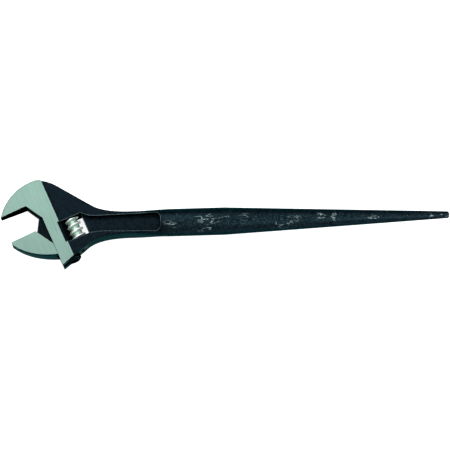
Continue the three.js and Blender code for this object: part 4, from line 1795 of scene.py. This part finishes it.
@dataclass
class Worm:
    """The thumb worm with its axle pin and thrust spring, all on one axis."""

    head: HeadFrame
    u: float = 21.8
    bottom: float = -43.55
    top: float = -25.05
    radius: float = 6.7
    root_radius: float = 4.6
    lead: float = 5.4
    crest: float = -32.6
    half_crest: float = 0.55
    flank_angle: float = math.radians(20)
    mesh_gap: float = 0.25
    steps_per_turn: int = 48
    root_fillet: float = 0.3
    crest_round: float = 0.22
    crest_profile: tuple[Span, ...] = ((1.0, 0.36), (0.3, -0.15), (0.0, -0.9))
    barrel_stock: float = 0.02
    barrel_sides: int = 96
    round_sides: int = 48
    hole_sides: int = 32
    bore_overrun: float = 30.0
    end_chamfer: float = 0.9
    pocket_radius: float = 3.4
    pocket_depth: float = 9.0
    gap: float = 0.3
    pin_radius: float = 2.0
    pin_head_radius: float = 3.0
    pin_head_height: float = 2.2
    pin_head_inset: float = 1.0
    seat_depth: float = 5.0
    pin_edge: float = 0.12
    pin_sharp_angle: float = 40.0
    driver_slot: tuple[float, float] = (0.9, 0.8)
    wire_radius: float = 0.4
    wire_segments: int = 3
    closed_pitch: float = 2.1
    spring_turns: int = 5
    spring_steps_per_turn: int = 24
    spring_gap: float = 0.2

    @property
    def thread_slope(self) -> float:
        """How far the ridge rises per millimetre around the worm."""
        return self.lead / (2 * math.pi * (self.radius - self.mesh_gap))

    def pin_head_bottom(self, body: ForgedBody) -> float:
        """The height of the lower face of the pin's head, inside the head's lower end."""
        return -body.head_drop + self.u * math.tan(body.underside_slope) + self.pin_head_inset

    def _profile(self) -> list[Vector]:
        """One lead of the thread from root to root, with its crest's corners rounded, about z = 0.

        Returns:
            The profile's points, from below to above.
        """
        rise = self.radius - self.root_radius
        half_base = self.half_crest + rise * math.tan(self.flank_angle)
        r, root, fillet = self.crest_round, self.root_radius, self.root_fillet
        half = [
            Vector((root, 0, self.lead / 2)),
            Vector((root, 0, half_base + fillet)),
            Vector((root + fillet / 3, 0, half_base + fillet / 4)),
        ]
        for inwards, upwards in self.crest_profile:
            half.append(Vector((self.radius - r * inwards, 0, self.half_crest + r * upwards)))
        below = [Vector((p.x, 0, -p.z)) for p in half]
        return below + half[::-1]

    def _thread(self) -> Workpiece:
        """One lead of thread, screwed up the axis and faced off at both ends.

        Returns:
            The thread, open along its axis.
        """
        below = math.ceil((self.crest - self.bottom) / self.lead) + 1
        turns = below + math.ceil((self.top - self.crest) / self.lead) + 1
        piece = Workpiece.traced("thumb_worm", self._profile(), UP * -below * self.lead)
        piece.modify(
            "thread",
            "SCREW",
            angle=math.tau,
            screw_offset=self.lead,
            iterations=turns,
            steps=self.steps_per_turn,
            render_steps=self.steps_per_turn,
            use_merge_vertices=True,
            merge_threshold=MERGE_BELOW,
        )
        piece.obj.matrix_world = self.head.matrix(self.u, self.crest)
        bpy.ops.object.transform_apply(location=True, rotation=True, scale=True)
        for height, way in ((self.top, 1), (self.bottom, -1)):
            piece.slice_off(self.head.at(self.u, height), self.head.closing * way)
        return piece.outwards()

    def _barrel(self) -> Workpiece:
        """The worm's envelope, with chamfered ends, the pin's bore and the spring's pocket.

        Returns:
            The barrel.
        """
        head, far = self.head, self.bore_overrun
        length = self.top - self.bottom
        outside = self.radius + self.barrel_stock
        place = head.matrix(self.u, self.bottom)
        barrel = Workpiece.bar("barrel", place, outside, length, self.barrel_sides)
        barrel.break_ends(self.end_chamfer, 2)
        place = head.matrix(self.u, self.bottom - far)
        bore_radius = self.pin_radius + self.gap
        bore = Workpiece.bar("bore", place, bore_radius, length + 2 * far, self.round_sides)
        place = head.matrix(self.u, self.top - self.pocket_depth)
        pocket = Workpiece.bar("pocket", place, self.pocket_radius, far, self.round_sides)
        return barrel.combine(bore, Joining.CUT).combine(pocket, Joining.CUT)

    def build(self) -> bpy.types.Object:
        """Models the worm: its thread, kept where its bored barrel is.

        Returns:
            The finished mesh object, undressed.
        """
        return self._thread().combine(self._barrel(), Joining.COMMON).to_metres()

    def build_pin(self, body: ForgedBody) -> bpy.types.Object:
        """Models the axle pin with its slotted head.

        Args:
            body: the forging that it is pressed through.

        Returns:
            The finished mesh object, undressed.
        """
        bottom = self.pin_head_bottom(body)
        shank_length = body.window[3] + self.seat_depth - bottom
        place, squarely = self.head.matrix(self.u, bottom), 0.9
        radius, height = self.pin_head_radius, self.pin_head_height
        pin = Workpiece.bar("worm_axle_pin", place, radius, height, self.round_sides)
        pin.pick(Kind.FACES, lambda face: face.normal.dot(self.head.closing) > squarely)
        bpy.ops.mesh.inset(thickness=self.pin_head_radius - self.pin_radius)
        pin.pull(self.head.closing * (shank_length - self.pin_head_height))
        width, depth = self.driver_slot
        reach = self.pin_head_radius * 2
        corners = [(-reach, -depth), (reach, -depth), (reach, depth), (-reach, depth)]
        points = [self.head.at(self.u + du, bottom + dv, -width / 2) for du, dv in corners]
        slot = Workpiece.drawn("slot", points, UP * width)
        return pin.combine(slot, Joining.CUT).soften(self.pin_edge, self.pin_sharp_angle).to_metres()

    def build_spring(self, body: ForgedBody) -> bpy.types.Object:
        """Winds the thrust spring, with a closed turn at each end.

        Args:
            body: the forging, whose window's top the spring pushes on.

        Returns:
            The finished mesh object, undressed.
        """
        bottom = self.top - self.pocket_depth + self.spring_gap + self.wire_radius
        top = body.window[3] - self.spring_gap - self.wire_radius
        coil_radius = self.pin_radius + self.gap + self.wire_radius
        closed = self.wire_radius * self.closed_pitch
        turns = self.spring_turns + 2
        steps = turns * self.spring_steps_per_turn
        curve = bpy.data.curves.new("worm_thrust_spring", "CURVE")
        curve.dimensions = "3D"
        curve.bevel_depth = self.wire_radius
        curve.bevel_resolution = self.wire_segments
        curve.use_fill_caps = True
        line = curve.splines.new("POLY")
        line.points.add(steps)
        for i, point in enumerate(line.points):
            t = i / steps * turns
            live = min(max(t - 1, 0), self.spring_turns) / self.spring_turns
            rise = (min(t, 1) + max(t - turns + 1, 0)) * closed
            height = bottom + rise + live * (top - bottom - 2 * closed)
            across, up = coil_radius * math.cos(t * math.tau), coil_radius * math.sin(t * math.tau)
            point.co = (*self.head.at(self.u + across, height, up), 1.0)
        Workpiece.clear_bench()
        spring = bpy.data.objects.new("worm_thrust_spring", curve)
        bpy.context.scene.collection.objects.link(spring)
        spring.select_set(True)
        bpy.context.view_layer.objects.active = spring
        bpy.ops.object.convert(target="MESH")
        return Workpiece("worm_thrust_spring").outwards().to_metres()

    def dress(
        self, obj: bpy.types.Object, finish: bpy.types.Material, body: str, node: str, slot: str
    ) -> None:
        """Gives a turned piece its finish, hangs it under its body's empty and hides its CAD node.

        Args:
            obj: the piece.
            finish: its finish.
            body: the body that it moves with.
            node: the CAD node that it stands for.
            slot: not used.
        """
        obj.data.materials.clear()
        obj.data.materials.append(finish)
        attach(obj, body)
        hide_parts(node)


# ---- Studio -------------------------------------------------------------------------------------------


@dataclass(frozen=True)
class Softbox:
    """One square soft light: where it hangs from the wrench's middle, its side and its power."""

    name: str
    offset: Sizes
    size: float
    power: float


@dataclass
class Studio:
    """A plain pale floor, soft light from above and the camera."""

    distance: float = 1.56
    tilt: float = math.radians(16.93)
    yaw: float = math.radians(-1.72)
    lens: float = 146.97
    aim_offset: tuple[float, float] = (-0.404, -4.567)
    floor_colour: str = "F6F7F7"
    floor_glow: float = 0.85
    floor_size: float = 6.0
    floor_roughness: float = 0.9
    fibre_mm: float = 3.0
    fibre_detail: float = 2.0
    fibre_roughness: float = 0.5
    fibre_relief_mm: float = 0.01
    world_strength: float = 0.55
    sensor_width: float = 36.0
    softboxes: tuple[Softbox, ...] = (
        Softbox("key", (-0.45, 0.75, 1.25), 0.9, 14.0),
        Softbox("fill", (0.5, -0.7, 0.9), 0.7, 6.0),
    )

    def centre(self) -> Vector:
        """The middle of the wrench, in metres."""
        low, high = (Vector(corner) for corner in CAD_BOX)
        return (low + high) / 2

    def floor(self) -> None:
        """Lays the floor that the wrench rests on."""
        Workpiece.clear_bench()
        bpy.ops.mesh.primitive_plane_add(size=self.floor_size, location=(0, 0, 0))
        floor = Workpiece("floor").obj
        bench = NodeBench("pale_paper")
        settings = {
            "Scale": per_metre(self.fibre_mm),
            "Detail": self.fibre_detail,
            "Roughness": self.fibre_roughness,
        }
        fibres = bench.add("TexNoise", settings, "Fac", Vector=bench.place)
        pale = linear(self.floor_colour)
        material = bench.finish(
            self.floor_roughness,
            fibres,
            self.fibre_relief_mm,
            Base_Color=pale,
            Emission_Color=pale,
            Emission_Strength=self.floor_glow,
        )
        floor.data.materials.append(material)

    def lights(self) -> None:
        """Sets a pale surround, a large soft light above and a weaker one from the front."""
        world = bpy.data.worlds.new("studio")
        world.use_nodes = True
        background = world.node_tree.nodes["Background"]
        background.inputs["Color"].default_value = (1.0, 1.0, 1.0, 1.0)
        background.inputs["Strength"].default_value = self.world_strength
        bpy.context.scene.world = world
        bpy.context.scene.view_settings.view_transform = "Standard"
        for softbox in self.softboxes:
            self._hang(softbox)

    def _hang(self, softbox: Softbox) -> None:
        """Hangs one softbox so that it faces the wrench.

        Args:
            softbox: the softbox.
        """
        offset = Vector(softbox.offset)
        data = bpy.data.lights.new(softbox.name, "AREA")
        data.size = softbox.size
        data.energy = softbox.power
        light = bpy.data.objects.new(softbox.name, data)
        light.location = self.centre() + offset
        light.rotation_euler = offset.to_track_quat("Z", "Y").to_euler()
        bpy.context.scene.collection.objects.link(light)

    def camera(self) -> None:
        """Sets the camera high above the wrench, tilted a little from its lower side."""
        turn = Matrix.Rotation(self.yaw, 3, "Z")
        right = turn @ Vector((1, 0, 0))
        back = turn @ Vector((0, -math.sin(self.tilt), math.cos(self.tilt)))
        up = back.cross(right)
        aim = self.centre() + Vector((*self.aim_offset, 0)) * TO_METRES
        data = bpy.data.cameras.new("camera")
        data.lens = self.lens
        data.sensor_width = self.sensor_width
        camera = bpy.data.objects.new("camera", data)
        place = Matrix((right, up, back)).transposed().to_4x4()
        place.translation = aim + back * self.distance
        camera.matrix_world = place
        bpy.context.scene.collection.objects.link(camera)
        bpy.context.scene.camera = camera


# ---- The whole wrench ---------------------------------------------------------------------------------


def report(piece: bpy.types.Object, body: str) -> None:
    """Logs one finished piece."""
    LOG.info("%s: %d faces, moves with %s", piece.name, len(piece.data.polygons), body)


def main() -> None:
    """Builds the studio and the wrench's pieces in order."""
    studio = Studio()
    studio.camera()
    studio.floor()
    studio.lights()

    head = HeadFrame.from_record(frame["record"])
    taper = GroundTaper()
    body = ForgedBody(head, taper)
    jaw = SlidingJaw(head, taper)
    worm = Worm(head)

    oxide = BlackOxide().material(head, body.crest_band())
    ground = GroundSteel().material(head)
    # the milled black is darker than the forging as painted shade in the mouth, slot, window and web
    milled = MilledOxideAndShade().material(head)
    bright = ThreadSteel().material(head, worm.u, worm.radius)
    blacked = TurnedSteel(
        name="blacked_pin_steel", light="2A373D", dark="131C22", ring_mm=0.5, roughness=0.4
    ).material(head)
    wire = TurnedSteel(
        name="drawn_spring_wire", light="A3AAAA", dark="7C8484", ring_mm=0.3, roughness=0.3
    ).material(head)

    forging = body.build(jaw, worm)
    body.dress(forging, oxide, ground, milled)
    report(forging, "body")
    moving = jaw.build(worm)
    jaw.dress(moving, oxide, ground, milled)
    report(moving, "jaw")
    thread = worm.build()
    worm.dress(thread, bright, "worm", "worm", "worm_steel")
    report(thread, "worm")
    pin = worm.build_pin(body)
    worm.dress(pin, blacked, "body", "worm_pin", "pin_steel")
    report(pin, "body")
    spring = worm.build_spring(body)
    worm.dress(spring, wire, "worm", "worm_spring", "spring_wire")
    report(spring, "worm")


if __name__ == "__main__":
    logging.basicConfig(level=logging.INFO, format="%(message)s", stream=sys.stdout)
    main()
